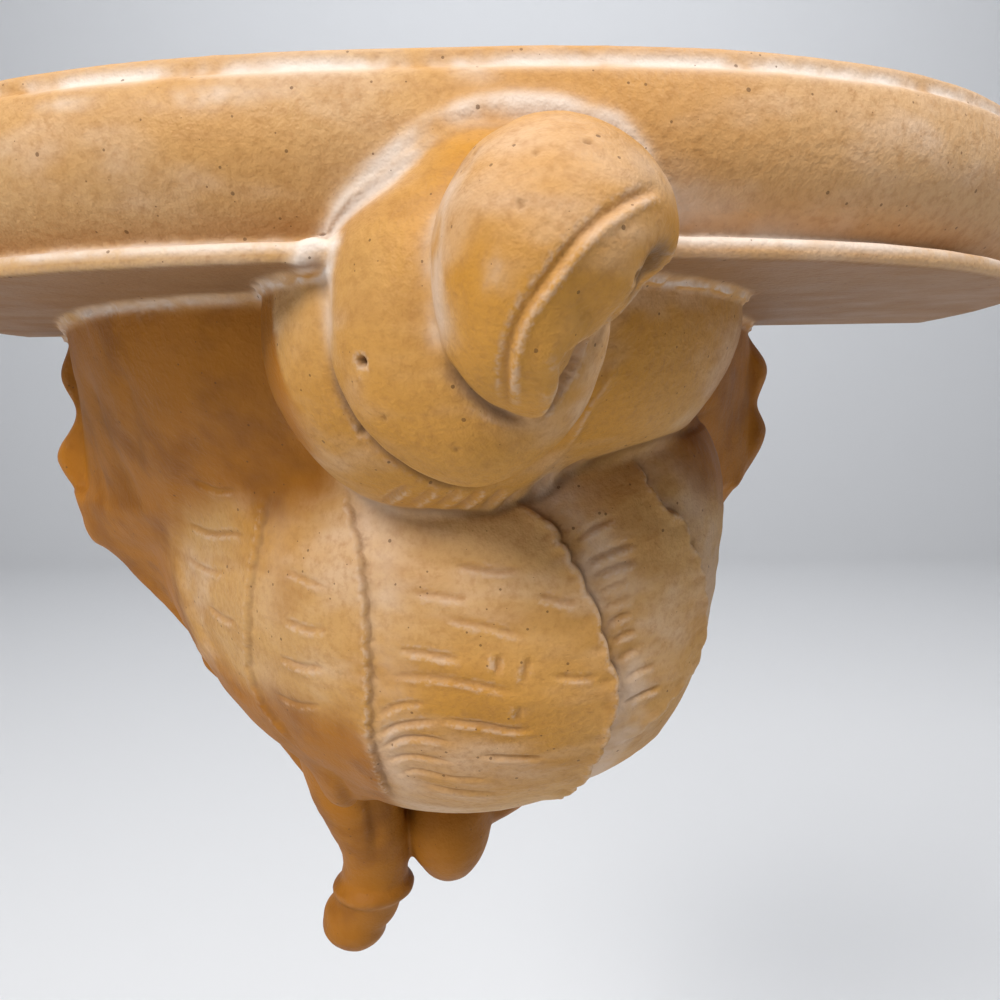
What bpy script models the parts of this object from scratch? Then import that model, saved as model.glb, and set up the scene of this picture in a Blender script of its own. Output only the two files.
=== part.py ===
"""Shell wall shelf: a D-shaped moulded shelf cast in one piece with the whelk shell that carries it.

Metres, +Z up. The wall is the plane y = 0, the front faces -Y, and the origin is the point of the flat
back where the casting hangs, centred in the shelf's width.
"""

import math

import bmesh
import bpy
import numpy as np

MM = 0.001
OBJECT_NAME = "shell_wall_shelf"

# Shelf: half of a superellipse in plan, with a moulded edge
SHELF_TOP = 60 * MM            # the shelf's upper face over the hanging point
SHELF_HALF_WIDTH = 165 * MM
SHELF_DEPTH = 167 * MM
PLAN_POWER = 2.55              # 2 would be an ellipse, more is squarer
SHELF_THICKNESS = 38 * MM
FILLET_HEIGHT = 3.8 * MM       # the thin slanted strip round the upper edge
FILLET_SLANT = 0.9 * MM
EDGE_ROUND = 1.2 * MM          # the worn upper edge
CREASE_UNDER_FILLET = 0.6 * MM
BAND_BULGE = 3.2 * MM          # how far the cushion band stands out past the plan
BAND_START = 0.08              # the share of its half-round where the band starts
BAND_POWER = 0.8               # under 1 its fullest place lies above the middle
BAND_STEPS = 9
GROOVE_DEPTH = 6.5 * MM        # the dark groove between the band and the lip
LIP_HEIGHT = 5.0 * MM
LIP_OUT = 0.6 * MM
LIP_ROUND = 1.0 * MM
PLAN_SIDES = 60

# Shell: heights are measured down from the shelf's underside, which is the datum of every form below.
# A form is a pebble: a closed outline on a plane near the wall's direction, domed to the front and back.
# Each outline is given as radii at equal angles, counter-clockwise from +X, seen from the front.
UNDERSIDE = SHELF_TOP - SHELF_THICKNESS

CROWN_CENTRE = (24 * MM, -182 * MM, -3 * MM)
CROWN_RADII = (21.4, 23.0, 23.5, 23.3, 21.5, 20.1, 19.4, 21.3, 25.1, 24.8, 15.9, 17.7)
CROWN_FRONT = 23 * MM
CROWN_BACK = 22 * MM

SECOND_WHORL_CENTRE = (10 * MM, -160 * MM, -6 * MM)
SECOND_WHORL_RADII = (27.3, 29.5, 34.1, 32.4, 27.0, 27.2, 26.9, 29.9, 33.4, 36.2, 32.5, 28.7)
SECOND_WHORL_FRONT = 21 * MM
SECOND_WHORL_BACK = 40 * MM

SHOULDER_CENTRE = (9 * MM, -105 * MM, -3 * MM)
SHOULDER_RADII = (68.1, 50.0, 36.0, 30.0, 34.0, 43.0, 48.2, 52.0, 53.4, 50.9, 48.4, 61.6)
SHOULDER_FRONT = 60 * MM
SHOULDER_BACK = 118 * MM
SHOULDER_LEAN = 0.25           # how much the outline's plane falls back to the wall per unit of +X

BELLY_CENTRE = (-5 * MM, -43 * MM, -80 * MM)
BELLY_RADII = (81.2, 90.8, 80.9, 80.0, 92.0, 112.0, 108.0, 92.0, 78.0, 74.4, 74.3, 79.5)
BELLY_FRONT = 85 * MM
BELLY_BACK = 70 * MM
BELLY_LEAN = -0.25
BELLY_ROUND = 0.5              # crest power of an ellipse, on the right and below
BELLY_SLOPE = 0.95             # crest power where the belly runs out into the left wing
BELLY_RUNOUT = math.radians(165)

# Wings: the shell's flared edge against the wall, as points of its lobed outline (x, height)
WING_CENTRE = (-20 * MM, -57 * MM)
WING_OUTLINE = (
    (80, 24), (101, 18), (101, -1), (109, -15), (105.5, -28), (109, -39), (101.5, -54), (92, -68),
    (86, -90), (62, -132), (12, -186), (-38, -194), (-57, -180), (-74, -157), (-88.5, -137),
    (-101.5, -127), (-107, -113), (-122, -95), (-135, -81), (-144, -75), (-147, -60), (-154.5, -47),
    (-154, -41), (-146, -28), (-151, -14.5), (-147, -2), (-146, 18), (-120, 24),
)
WING_LOBE_REACH = math.radians(12)     # the lobes are averaged away over this angle, inside the edge
WING_LOBE_FADE = 5             # and fade inwards with this power of the share of the radius
WING_SPAN = 121 * MM           # from the centre to each side, above the centre
WING_EDGE = 8 * MM             # thickness at the edge
WING_EDGE_ROUND = 0.25         # share of the sphere's depth that rounds the edge over
WING_LOW_RISE = 60 * MM        # how far the cone of the wings rises at its foot
WING_HIGH_RISE = 118 * MM      # and at the shelf
WING_HIGH_ROUND = 1.8          # 0 would leave the section at the shelf a straight slope
WING_TURN = 60 * MM            # the height over and under the centre where the rise changes

# Canal: the shell's tail, down the wall to the knob (x, y, height, radius)
CANAL_PATH = (
    (-48, -30, -100, 20), (-44, -40, -140, 17), (-39.5, -33, -164, 14.5), (-35.5, -26, -180, 12.5),
    (-35, -21, -193, 12), (-38.5, -18, -206, 12.5), (-42, -16, -214, 12),
)
KNOB_CENTRE = (-45.5 * MM, -16 * MM, -218.5 * MM)
KNOB_RADIUS = 12.2 * MM
COLLAR_CENTRE = (-37.5 * MM, -19 * MM, -203.5 * MM)
COLLAR_SIZE = (15.5 * MM, 16 * MM, 6 * MM)
LOBE_CENTRE = (-9.5 * MM, -12 * MM, -178 * MM)
LOBE_SIZE = (16.5 * MM, 24 * MM, 26 * MM)

# Ridges: the free edges of the shell's overlapping plates, left to right, each as points (x, height).
# A plate stands proud along its right edge and steps down to the next one.
RIDGES = (
    ((-76, -24), (-84, -45), (-89, -68), (-85, -87), (-78, -100), (-62, -116)),
    ((-47, -48), (-50, -58), (-54, -76), (-58, -100), (-54, -111), (-45, -124)),
    ((-26, -45), (-21, -58), (-18.5, -80), (-19, -100), (-19, -118), (-18, -137)),
    ((18, -50), (27, -56), (36, -74), (41, -90), (41, -108), (36, -130)),
    ((46, -40), (56, -54), (66, -72), (68, -90), (62, -102), (47, -114)),
)
PLATE_LIFT = 1.7 * MM          # how proud a plate's edge stands
PLATE_SINK = 1.5 * MM          # how far the next plate lies under it
PLATE_LIFT_REACH = 9 * MM
PLATE_SINK_REACH = 6 * MM
PLATE_END_FADE = 6 * MM
PLATES_BEHIND = -150 * MM      # the plates lie behind this
EDGE_LOBE_PITCH = 7 * MM       # the small scallops along a plate's edge
EDGE_LOBE_DEPTH = 0.9 * MM

# Crown: the crease across it and the edge it rolls in under, as points (x, height)
CROWN_CREASE = ((40, 5), (34, 2), (28, -2.5), (23.5, -8.5), (20, -13.5), (18, -18), (17.3, -23), (17.5, -27))
CROWN_EDGE = ((43.5, -4), (38, -10), (34, -13), (31, -16))
CREASE_DEPTH = 1.1 * MM
CREASE_WIDTH = 1.5 * MM
CREASE_IN_FRONT = -180 * MM    # the crown's creases lie in front of this

PEBBLE_SIDES = 240
PEBBLE_RINGS = 64
FORM_VOXEL = 1.8 * MM          # the cell at which the shell's forms are fused
SEAM_PASSES = 2
SHELL_FACES = 8200             # triangles left in the fused skin
SHARP_ANGLE = math.radians(40) # edges sharper than this stay crisp
CARVED_FACING = 3.0            # carving fades out over the last third of the turn away from the front
BACK_POWER = 0.3               # how squarely the shoulder and the belly run back to the wall
BEHIND_WALL = 8 * MM           # the forms run on behind the wall before they are cut flat there


def clear_scene():
    for item in list(bpy.data.objects):
        bpy.data.objects.remove(item, do_unlink=True)


def make_collection(name):
    collection = bpy.data.collections.new(name)
    bpy.context.scene.collection.children.link(collection)
    return collection


def object_from_bmesh(bm, name, collection):
    mesh = bpy.data.meshes.new(name)
    bm.to_mesh(mesh)
    bm.free()
    item = bpy.data.objects.new(name, mesh)
    collection.objects.link(item)
    return item


def plaster_material():
    """Terracotta-coloured plaster, matt to satin."""
    material = bpy.data.materials.new("terracotta_plaster")
    material.use_nodes = True
    shader = material.node_tree.nodes["Principled BSDF"]
    shader.inputs["Base Color"].default_value = (0.50, 0.29, 0.13, 1.0)
    shader.inputs["Roughness"].default_value = 0.62
    shader.inputs["Metallic"].default_value = 0.0
    return material


def plan_point(angle, inset):
    """A point of the shelf's plan, from angle 0 at the right end to pi at the left end."""
    half_width = SHELF_HALF_WIDTH - inset
    depth = SHELF_DEPTH - inset
    cosine = math.cos(angle)
    sine = max(math.sin(angle), 0.0)
    x = math.copysign(half_width * abs(cosine) ** (2 / PLAN_POWER), cosine)
    return x, -depth * sine ** (2 / PLAN_POWER)


def moulding_profile():
    """The edge from the upper face to the underside, as (inset from the plan, drop below the top)."""
    band_top = FILLET_HEIGHT + CREASE_UNDER_FILLET
    lip_top = SHELF_THICKNESS - LIP_HEIGHT
    groove = lip_top - EDGE_ROUND
    profile = [(FILLET_SLANT + EDGE_ROUND, 0.0), (FILLET_SLANT, EDGE_ROUND), (FILLET_SLANT, FILLET_HEIGHT)]
    for step in range(BAND_STEPS + 1):
        share = step / BAND_STEPS
        swell = math.sin(math.pi * (BAND_START + (1 - BAND_START) * share) ** BAND_POWER)
        roll = GROOVE_DEPTH * share ** 4
        profile.append((roll - BAND_BULGE * swell, band_top + (groove - band_top) * share))
    profile.append((GROOVE_DEPTH, lip_top))
    profile.append((-LIP_OUT, lip_top + LIP_ROUND))
    profile.append((-LIP_OUT, SHELF_THICKNESS - LIP_ROUND))
    profile.append((LIP_ROUND - LIP_OUT, SHELF_THICKNESS))
    return profile


def make_shelf(collection):
    """The shelf as a stack of D-shaped rings, one for each step of its moulding."""
    bm = bmesh.new()
    rings = []
    for inset, drop in moulding_profile():
        ring = []
        for step in range(PLAN_SIDES + 1):
            x, y = plan_point(math.pi * step / PLAN_SIDES, inset)
            ring.append(bm.verts.new((x, y, SHELF_TOP - drop)))
        for vertex in (ring[0], ring[-1]):
            vertex.co.y = BEHIND_WALL
        rings.append(ring)
    bm.faces.new(rings[0])
    bm.faces.new(reversed(rings[-1]))
    for upper, lower in zip(rings, rings[1:]):
        for index in range(len(upper)):
            after = (index + 1) % len(upper)
            bm.faces.new((upper[index], lower[index], lower[after], upper[after]))
    bmesh.ops.recalc_face_normals(bm, faces=bm.faces)
    return object_from_bmesh(bm, OBJECT_NAME, collection)


def smooth_loop(points, samples=12):
    """A closed Catmull-Rom curve through points, as an array of (x, height)."""
    points = np.asarray(points, dtype=float)
    before, after, second = np.roll(points, 1, 0), np.roll(points, -1, 0), np.roll(points, -2, 0)
    curve = []
    for share in np.arange(samples) / samples:
        curve.append(0.5 * (2 * points + (after - before) * share
                            + (2 * before - 5 * points + 4 * after - second) * share ** 2
                            + (3 * points - before - 3 * after + second) * share ** 3))
    return np.stack(curve, axis=1).reshape(-1, 2)


def outline_from_radii(radii):
    angles = 2 * np.pi * np.arange(len(radii)) / len(radii)
    return smooth_loop(np.stack([np.cos(angles), np.sin(angles)], 1) * np.array(radii)[:, None] * MM)


def radius_at(outline, angle):
    """The outline's distance from its centre in the direction of angle."""
    angles = np.arctan2(outline[:, 1], outline[:, 0])
    order = np.argsort(angles)
    radii = np.hypot(outline[:, 0], outline[:, 1])
    return np.interp(angle, angles[order], radii[order], period=2 * np.pi)


def add_pebble(name, centre, outline, crest, collection, lean=0.0, edge_outline=None, back_power=1.0):
    """A sphere drawn out to an outline.

    crest gives the height over the outline's plane from (share of the radius, side, x, height), where side
    is the sphere's own depth there: up to 1 at the front pole and down to -1 at the back. An edge_outline
    takes over from the outline close to the edge only. A back_power under 1 keeps the back half as wide
    as the outline nearly all the way.
    """
    bm = bmesh.new()
    bmesh.ops.create_uvsphere(bm, u_segments=PEBBLE_SIDES, v_segments=PEBBLE_RINGS, radius=1.0)
    for vertex in bm.verts:
        # the sphere's poles lie along Z: turn them to the front and back
        across, up, side = vertex.co.x, vertex.co.y, vertex.co.z
        share = min(1.0, math.hypot(across, up))
        if side < 0:
            share = share ** back_power
        angle = math.atan2(up, across)
        radius = radius_at(outline, angle)
        if edge_outline is not None:
            radius += (radius_at(edge_outline, angle) - radius) * share ** WING_LOBE_FADE
        x = share * radius * math.cos(angle)
        height = share * radius * math.sin(angle)
        y = lean * x - crest(share, side, x, height)
        vertex.co = (centre[0] + x, centre[1] + y, UNDERSIDE + centre[2] + height)
    bmesh.ops.recalc_face_normals(bm, faces=bm.faces)
    return object_from_bmesh(bm, name, collection)


def dome(front, back):
    """An even dome: front and back are its heights over the outline's plane."""
    return lambda share, side, x, height: side * (front if side > 0 else back)


def belly_crest(share, side, x, height):
    """The belly's dome: round on the right and below, sloping out into the left wing."""
    if side <= 0:
        return side * BELLY_BACK
    runout = max(0.0, math.cos(math.atan2(height, x) - BELLY_RUNOUT)) ** 2
    power = BELLY_ROUND + (BELLY_SLOPE - BELLY_ROUND) * runout
    return BELLY_FRONT * (1 - share * share) ** power


def wing_crest(share, side, x, height):
    """The wings' low cone: a rounded edge, then a rise that is fuller and rounder towards the shelf."""
    if side <= 0:
        return side * BEHIND_WALL
    spread = share if height < 0 else min(1.0, abs(x) / WING_SPAN)
    turn = min(1.0, max(0.0, 0.5 + height / (2 * WING_TURN)))
    turn = turn * turn * (3 - 2 * turn)
    rise = WING_LOW_RISE + (WING_HIGH_RISE - WING_LOW_RISE) * turn
    swell = 1 - spread ** (1 + WING_HIGH_ROUND * turn)
    return min(1.0, side / WING_EDGE_ROUND) * (WING_EDGE + rise * swell)


def without_lobes(outline):
    """The outline with its lobes averaged away, for the form inside the edge."""
    angles = np.linspace(-np.pi, np.pi, 72, endpoint=False)
    turns = np.linspace(-WING_LOBE_REACH, WING_LOBE_REACH, 9)
    radii = np.mean([radius_at(outline, angles + turn) for turn in turns], axis=0)
    return np.stack([np.cos(angles), np.sin(angles)], 1) * radii[:, None]


def add_ellipsoid(name, centre, size, collection):
    bm = bmesh.new()
    bmesh.ops.create_uvsphere(bm, u_segments=48, v_segments=24, radius=1.0)
    for vertex in bm.verts:
        vertex.co = (
            centre[0] + vertex.co.x * size[0],
            centre[1] + vertex.co.y * size[1],
            UNDERSIDE + centre[2] + vertex.co.z * size[2],
        )
    return object_from_bmesh(bm, name, collection)


def add_canal(collection):
    """The tail as a round tube whose radius follows its path."""
    data = bpy.data.curves.new("canal_path", "CURVE")
    data.dimensions = "3D"
    data.bevel_depth = MM
    data.bevel_resolution = 6
    data.use_fill_caps = True
    spline = data.splines.new("NURBS")
    spline.points.add(len(CANAL_PATH) - 1)
    for point, (x, y, height, radius) in zip(spline.points, CANAL_PATH):
        point.co = (x * MM, y * MM, UNDERSIDE + height * MM, 1.0)
        point.radius = radius
    spline.use_endpoint_u = True
    spline.order_u = 4
    path = bpy.data.objects.new("canal_path", data)
    collection.objects.link(path)
    bpy.context.view_layer.update()
    mesh = bpy.data.meshes.new_from_object(path.evaluated_get(bpy.context.evaluated_depsgraph_get()))
    bpy.data.objects.remove(path, do_unlink=True)
    bm = bmesh.new()
    bm.from_mesh(mesh)
    bmesh.ops.remove_doubles(bm, verts=bm.verts, dist=0.0001)
    bpy.data.meshes.remove(mesh)
    return object_from_bmesh(bm, "canal", collection)


def shell_forms(collection):
    """Every round form of the shell, overlapping where they really meet."""
    wing_points = np.array(WING_OUTLINE) * MM - np.array(WING_CENTRE)
    wings = smooth_loop(wing_points)
    return [
        add_pebble("crown_whorls", CROWN_CENTRE, outline_from_radii(CROWN_RADII),
                   dome(CROWN_FRONT, CROWN_BACK), collection),
        add_pebble("second_whorl", SECOND_WHORL_CENTRE, outline_from_radii(SECOND_WHORL_RADII),
                   dome(SECOND_WHORL_FRONT, SECOND_WHORL_BACK), collection),
        add_pebble("shoulder_whorl", SHOULDER_CENTRE, outline_from_radii(SHOULDER_RADII),
                   dome(SHOULDER_FRONT, SHOULDER_BACK), collection, SHOULDER_LEAN, back_power=BACK_POWER),
        add_pebble("belly", BELLY_CENTRE, outline_from_radii(BELLY_RADII),
                   belly_crest, collection, BELLY_LEAN, back_power=BACK_POWER),
        add_pebble("wings", (WING_CENTRE[0], 0.0, WING_CENTRE[1]), without_lobes(wings), wing_crest,
                   collection, edge_outline=wings),
        add_ellipsoid("knob", KNOB_CENTRE, (KNOB_RADIUS,) * 3, collection),
        add_ellipsoid("collar", COLLAR_CENTRE, COLLAR_SIZE, collection),
        add_ellipsoid("lobe", LOBE_CENTRE, LOBE_SIZE, collection),
        add_canal(collection),
    ]


def evaluated_copy(item, name, collection):
    """The object's evaluated mesh as a new object, in place of the old one."""
    bpy.context.view_layer.update()
    graph = bpy.context.evaluated_depsgraph_get()
    mesh = bpy.data.meshes.new_from_object(item.evaluated_get(graph))
    copy = bpy.data.objects.new(name, mesh)
    collection.objects.link(copy)
    bpy.data.objects.remove(item, do_unlink=True)
    return copy


def fuse_shell(forms, collection):
    """The forms joined and fused into one skin."""
    bm = bmesh.new()
    for form in forms:
        bm.from_mesh(form.data)
        bpy.data.objects.remove(form, do_unlink=True)
    joined = object_from_bmesh(bm, "shell_forms", collection)
    remesh = joined.modifiers.new("fuse", "REMESH")
    remesh.mode = "VOXEL"
    remesh.voxel_size = FORM_VOXEL
    return evaluated_copy(joined, "shell", collection)


def soften(shell):
    """Round off the seams where the forms meet."""
    bm = bmesh.new()
    bm.from_mesh(shell.data)
    for _ in range(SEAM_PASSES):
        bmesh.ops.smooth_vert(bm, verts=bm.verts, factor=0.5, use_axis_x=True, use_axis_y=True,
                              use_axis_z=True)
    bm.to_mesh(shell.data)
    bm.free()


def open_curve(points, samples=10):
    """A smooth open curve through points, as an array of (x, height)."""
    points = np.asarray(points, dtype=float) * MM
    padded = np.vstack([2 * points[0] - points[1], points, 2 * points[-1] - points[-2]])
    curve = []
    for index in range(1, len(padded) - 2):
        before, start, end, after = padded[index - 1:index + 3]
        for share in np.arange(samples) / samples:
            curve.append(0.5 * (2 * start + (end - before) * share
                                + (2 * before - 5 * start + 4 * end - after) * share ** 2
                                + (3 * start - before - 3 * end + after) * share ** 3))
    curve.append(points[-1])
    return np.array(curve)


def nearest_on_curve(places, curve):
    """For every place: its distance from the curve, positive on the right going down it, and how far
    along the curve its nearest point lies."""
    best = np.full(len(places), np.inf)
    side = np.ones(len(places))
    along = np.zeros(len(places))
    travelled = 0.0
    for start, end in zip(curve, curve[1:]):
        run = end - start
        length = float(np.hypot(*run))
        away = places - start
        share = np.clip(away @ run / length ** 2, 0.0, 1.0)
        distance = np.hypot(*(away - share[:, None] * run).T)
        closer = distance < best
        best = np.where(closer, distance, best)
        cross = away[:, 0] * run[1] - away[:, 1] * run[0]
        side = np.where(closer, np.where(cross < 0, 1.0, -1.0), side)
        along = np.where(closer, travelled + share * length, along)
        travelled += length
    return best * side, along, travelled


def plate_relief(places):
    """How far the plates' edges lift or sink the shell at every place."""
    relief = np.zeros(len(places))
    for points in RIDGES:
        distance, along, length = nearest_on_curve(places, open_curve(points))
        lobes = np.abs(np.sin(np.pi * along / EDGE_LOBE_PITCH))
        distance = distance - EDGE_LOBE_DEPTH * lobes
        lift = PLATE_LIFT * np.exp(np.minimum(distance, 0.0) / PLATE_LIFT_REACH)
        sink = -PLATE_SINK * np.exp(-np.maximum(distance, 0.0) / PLATE_SINK_REACH)
        # the edge fades in and out at the ends of its ridge
        ends = np.clip(np.minimum(along, length - along) / PLATE_END_FADE, 0.0, 1.0)
        relief += np.where(distance < 0, lift, sink) * ends
    return relief


def crown_relief(places, fronts):
    """The crease across the crown and the rolled edge beside it."""
    relief = np.zeros(len(places))
    for points in (CROWN_CREASE, CROWN_EDGE):
        distance = nearest_on_curve(places, open_curve(points))[0]
        relief -= CREASE_DEPTH * np.exp(-(distance / CREASE_WIDTH) ** 2)
    return np.where(fronts < CREASE_IN_FRONT, relief, 0.0)


def carve(shell):
    """Work the plates and the crown's crease into the fused skin, along its own normals."""
    mesh = shell.data
    count = len(mesh.vertices)
    spots = np.empty(count * 3)
    normals = np.empty(count * 3)
    mesh.vertices.foreach_get("co", spots)
    mesh.vertices.foreach_get("normal", normals)
    spots = spots.reshape(-1, 3)
    normals = normals.reshape(-1, 3)
    places = np.stack([spots[:, 0], spots[:, 2] - UNDERSIDE], axis=1)
    facing = np.clip(-normals[:, 1] * CARVED_FACING, 0.0, 1.0)
    relief = np.where(spots[:, 1] > PLATES_BEHIND, plate_relief(places), 0.0)
    relief = relief + crown_relief(places, spots[:, 1])
    spots += normals * (relief * facing)[:, None]
    mesh.vertices.foreach_set("co", spots.ravel())
    mesh.update()


def make_wall_block(collection):
    """A block that fills the wall's side, to cut the back flat at y = 0."""
    bm = bmesh.new()
    bmesh.ops.create_cube(bm, size=1.0)
    for vertex in bm.verts:
        vertex.co.y += 0.5
    return object_from_bmesh(bm, "wall_block", collection)


def shade(item):
    """Round faces shaded smooth, with the mouldings' and the plates' edges kept crisp."""
    item.data.shade_smooth()
    item.data.set_sharp_from_angle(angle=SHARP_ANGLE)


def add_boolean(item, name, operation, other):
    cut = item.modifiers.new(name, "BOOLEAN")
    cut.operation = operation
    cut.solver = "EXACT"
    cut.object = other
    other.hide_render = True
    other.display_type = "WIRE"


def main():
    clear_scene()
    parts = make_collection(OBJECT_NAME)
    cutters = make_collection("cutters")
    shell = fuse_shell(shell_forms(cutters), cutters)
    soften(shell)
    carve(shell)
    shade(shell)
    thin_out = shell.modifiers.new("thin_out", "DECIMATE")
    thin_out.ratio = SHELL_FACES / (2 * len(shell.data.polygons))
    shelf = make_shelf(parts)
    shelf.data.materials.append(plaster_material())
    shade(shelf)
    add_boolean(shelf, "shell", "UNION", shell)
    add_boolean(shelf, "flat_back", "DIFFERENCE", make_wall_block(cutters))


main()
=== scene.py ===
"""Shell wall shelf: the finished look of a D-shaped moulded shelf cast in one piece with a whelk shell.

Metres, +Z up. The wall is the plane y = 0 and the front faces -Y. Places on the shell are given in
millimetres as x, y and height, where height is measured from the shelf's underside.
"""

from dataclasses import dataclass, field
from enum import Enum
import logging
import math
from typing import Callable, Sequence

import bmesh
import bpy
import numpy as np
from mathutils import Matrix, Vector, noise
from mathutils.kdtree import KDTree


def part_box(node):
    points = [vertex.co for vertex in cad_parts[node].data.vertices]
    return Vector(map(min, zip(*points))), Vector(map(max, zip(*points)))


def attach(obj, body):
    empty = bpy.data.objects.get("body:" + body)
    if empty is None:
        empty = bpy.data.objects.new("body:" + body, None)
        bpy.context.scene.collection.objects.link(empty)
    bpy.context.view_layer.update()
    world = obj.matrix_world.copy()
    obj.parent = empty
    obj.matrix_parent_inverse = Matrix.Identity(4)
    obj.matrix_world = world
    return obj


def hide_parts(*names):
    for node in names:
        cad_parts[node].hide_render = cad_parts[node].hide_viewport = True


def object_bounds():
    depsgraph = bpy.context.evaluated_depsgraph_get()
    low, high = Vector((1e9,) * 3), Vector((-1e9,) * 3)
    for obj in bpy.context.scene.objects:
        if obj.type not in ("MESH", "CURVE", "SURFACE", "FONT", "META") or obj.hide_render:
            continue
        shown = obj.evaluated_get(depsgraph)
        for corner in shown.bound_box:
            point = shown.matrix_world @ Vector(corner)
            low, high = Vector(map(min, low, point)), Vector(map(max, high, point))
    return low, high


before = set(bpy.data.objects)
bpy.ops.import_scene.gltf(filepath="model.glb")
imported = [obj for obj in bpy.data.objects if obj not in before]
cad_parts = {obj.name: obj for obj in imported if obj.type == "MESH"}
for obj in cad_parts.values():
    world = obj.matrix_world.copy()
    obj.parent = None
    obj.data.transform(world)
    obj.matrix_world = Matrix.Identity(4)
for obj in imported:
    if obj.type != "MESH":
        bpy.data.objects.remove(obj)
CAD_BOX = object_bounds()

LOG = logging.getLogger("shell_wall_shelf")
MM = 0.001
NODE = "shell_wall_shelf"
SHELF_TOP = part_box(NODE)[1].z
SHELF_THICKNESS = 38 * MM
UNDERSIDE = SHELF_TOP - SHELF_THICKNESS
BEHIND_WALL = 8 * MM
SKIN_CELL = 0.75 * MM
TRIANGLES_FINE = 190000

Points = tuple[tuple[float, ...], ...]
Crest = Callable[[np.ndarray, np.ndarray, np.ndarray, np.ndarray], np.ndarray]


class Mask(Enum):
    """The painted masks that the plaster's finish reads from the casting; several lay painted shade or a
    painted highlight.
    """

    CREVICE = "crevice"
    # painted shade: darkens the fine hollows and strokes
    LINE = "line"
    # paler on the fine ridges and the shelf's lip: partly wear and deposit, partly a painted highlight
    RIDGE = "ridge"
    # painted shade: darkens the cuts, pits, pinholes and the strips beside raised plate edges
    GRIME = "recess_shade"
    DUST = "dust"
    # painted shade: a deeper honey tone on the spire's faces that look down
    GOLD = "shaded_gold"
    # the shelf is paler all over and paler still towards its right end
    FADED = "paler"
    AMBER = "amber"
    CHALK = "chalk"
    SHADE = "underside"
    BARE = "bare"


def smooth_step(value: np.ndarray, low: float, high: float) -> np.ndarray:
    """A soft step.

    Args:
        value: what is compared.
        low: where the step is still 0.
        high: where it has reached 1.

    Returns:
        A share from 0 to 1 for each value.
    """
    share = np.clip((value - low) / (high - low), 0.0, 1.0)
    return share * share * (3 - 2 * share)


def closed_curve(points: np.ndarray, samples: int = 12) -> np.ndarray:
    """A closed Catmull-Rom curve.

    Args:
        points: the points that it passes, as rows of (x, height).
        samples: how many points are made for each span.

    Returns:
        The curve's points as rows of (x, height).
    """
    before, after, second = np.roll(points, 1, 0), np.roll(points, -1, 0), np.roll(points, -2, 0)
    curve = []
    for share in np.arange(samples) / samples:
        curve.append(0.5 * (2 * points + (after - before) * share
                            + (2 * before - 5 * points + 4 * after - second) * share ** 2
                            + (3 * points - before - 3 * after + second) * share ** 3))
    return np.stack(curve, axis=1).reshape(-1, 2)


def open_curve(points: Points, samples: int = 8) -> np.ndarray:
    """An open Catmull-Rom curve through points given in millimetres.

    Args:
        points: the points that it passes, as (x, height).
        samples: how many points are made for each span.

    Returns:
        The curve's points in metres.
    """
    line = np.asarray(points, dtype=float) * MM
    padded = np.vstack([2 * line[0] - line[1], line, 2 * line[-1] - line[-2]])
    curve = []
    for index in range(1, len(padded) - 2):
        before, start, end, after = padded[index - 1:index + 3]
        for share in np.arange(samples) / samples:
            curve.append(0.5 * (2 * start + (end - before) * share
                                + (2 * before - 5 * start + 4 * end - after) * share ** 2
                                + (3 * start - before - 3 * end + after) * share ** 3))
    curve.append(line[-1])
    return np.array(curve)


def radius_at(outline: np.ndarray, angle: np.ndarray) -> np.ndarray:
    """An outline's distance from its centre.

    Args:
        outline: the outline's points about its centre.
        angle: the directions asked for.

    Returns:
        One distance for each direction.
    """
    angles = np.arctan2(outline[:, 1], outline[:, 0])
    order = np.argsort(angles)
    radii = np.hypot(outline[:, 0], outline[:, 1])
    return np.interp(angle, angles[order], radii[order], period=2 * np.pi)


def outline_from_radii(radii: tuple[float, ...]) -> np.ndarray:
    """A smooth closed outline.

    Args:
        radii: its radii in millimetres at equal angles, counter-clockwise from +X.

    Returns:
        The outline's points in metres about its centre.
    """
    angles = 2 * np.pi * np.arange(len(radii)) / len(radii)
    return closed_curve(np.stack([np.cos(angles), np.sin(angles)], 1) * np.array(radii)[:, None] * MM)


def clear_selection() -> None:
    """Leaves nothing selected, so that an operator acts on its own piece alone."""
    bpy.ops.object.select_all(action="DESELECT")


def select_only(piece: bpy.types.Object) -> None:
    """Makes one object the active and only selected one.

    Args:
        piece: the object to select.
    """
    clear_selection()
    piece.select_set(True)
    bpy.context.view_layer.objects.active = piece


def vertex_places(mesh: bpy.types.Mesh, name: str = "co") -> np.ndarray:
    """Reads a vector that a mesh keeps for each vertex.

    Args:
        mesh: the mesh to read.
        name: the vertex property, co or normal.

    Returns:
        One row of three numbers for each vertex.
    """
    values = np.empty(len(mesh.vertices) * 3)
    mesh.vertices.foreach_get(name, values)
    return values.reshape(-1, 3)


def place_vertices(mesh: bpy.types.Mesh, places: np.ndarray) -> None:
    """Moves every vertex of a mesh.

    Args:
        mesh: the mesh to change.
        places: the new places, one row for each vertex.
    """
    mesh.vertices.foreach_set("co", places.ravel())
    mesh.update()


def drawn_in(places: np.ndarray) -> np.ndarray:
    """Draws relief in by a hair where it has carried the skin out of the solid's box.

    Args:
        places: rows of x, y and z.

    Returns:
        The places, drawn in towards the middle, the wall and the shelf's underside.
    """
    low, high = (np.array(corner) for corner in CAD_BOX)
    places = places.copy()
    places[:, 0] *= min(1.0, high[0] / np.abs(places[:, 0]).max())
    places[:, 1] *= min(1.0, low[1] / places[:, 1].min())
    hanging = places[:, 2] < UNDERSIDE
    share = min(1.0, (low[2] - UNDERSIDE) / (places[:, 2].min() - UNDERSIDE))
    places[hanging, 2] = UNDERSIDE + (places[hanging, 2] - UNDERSIDE) * share
    return places


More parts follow.
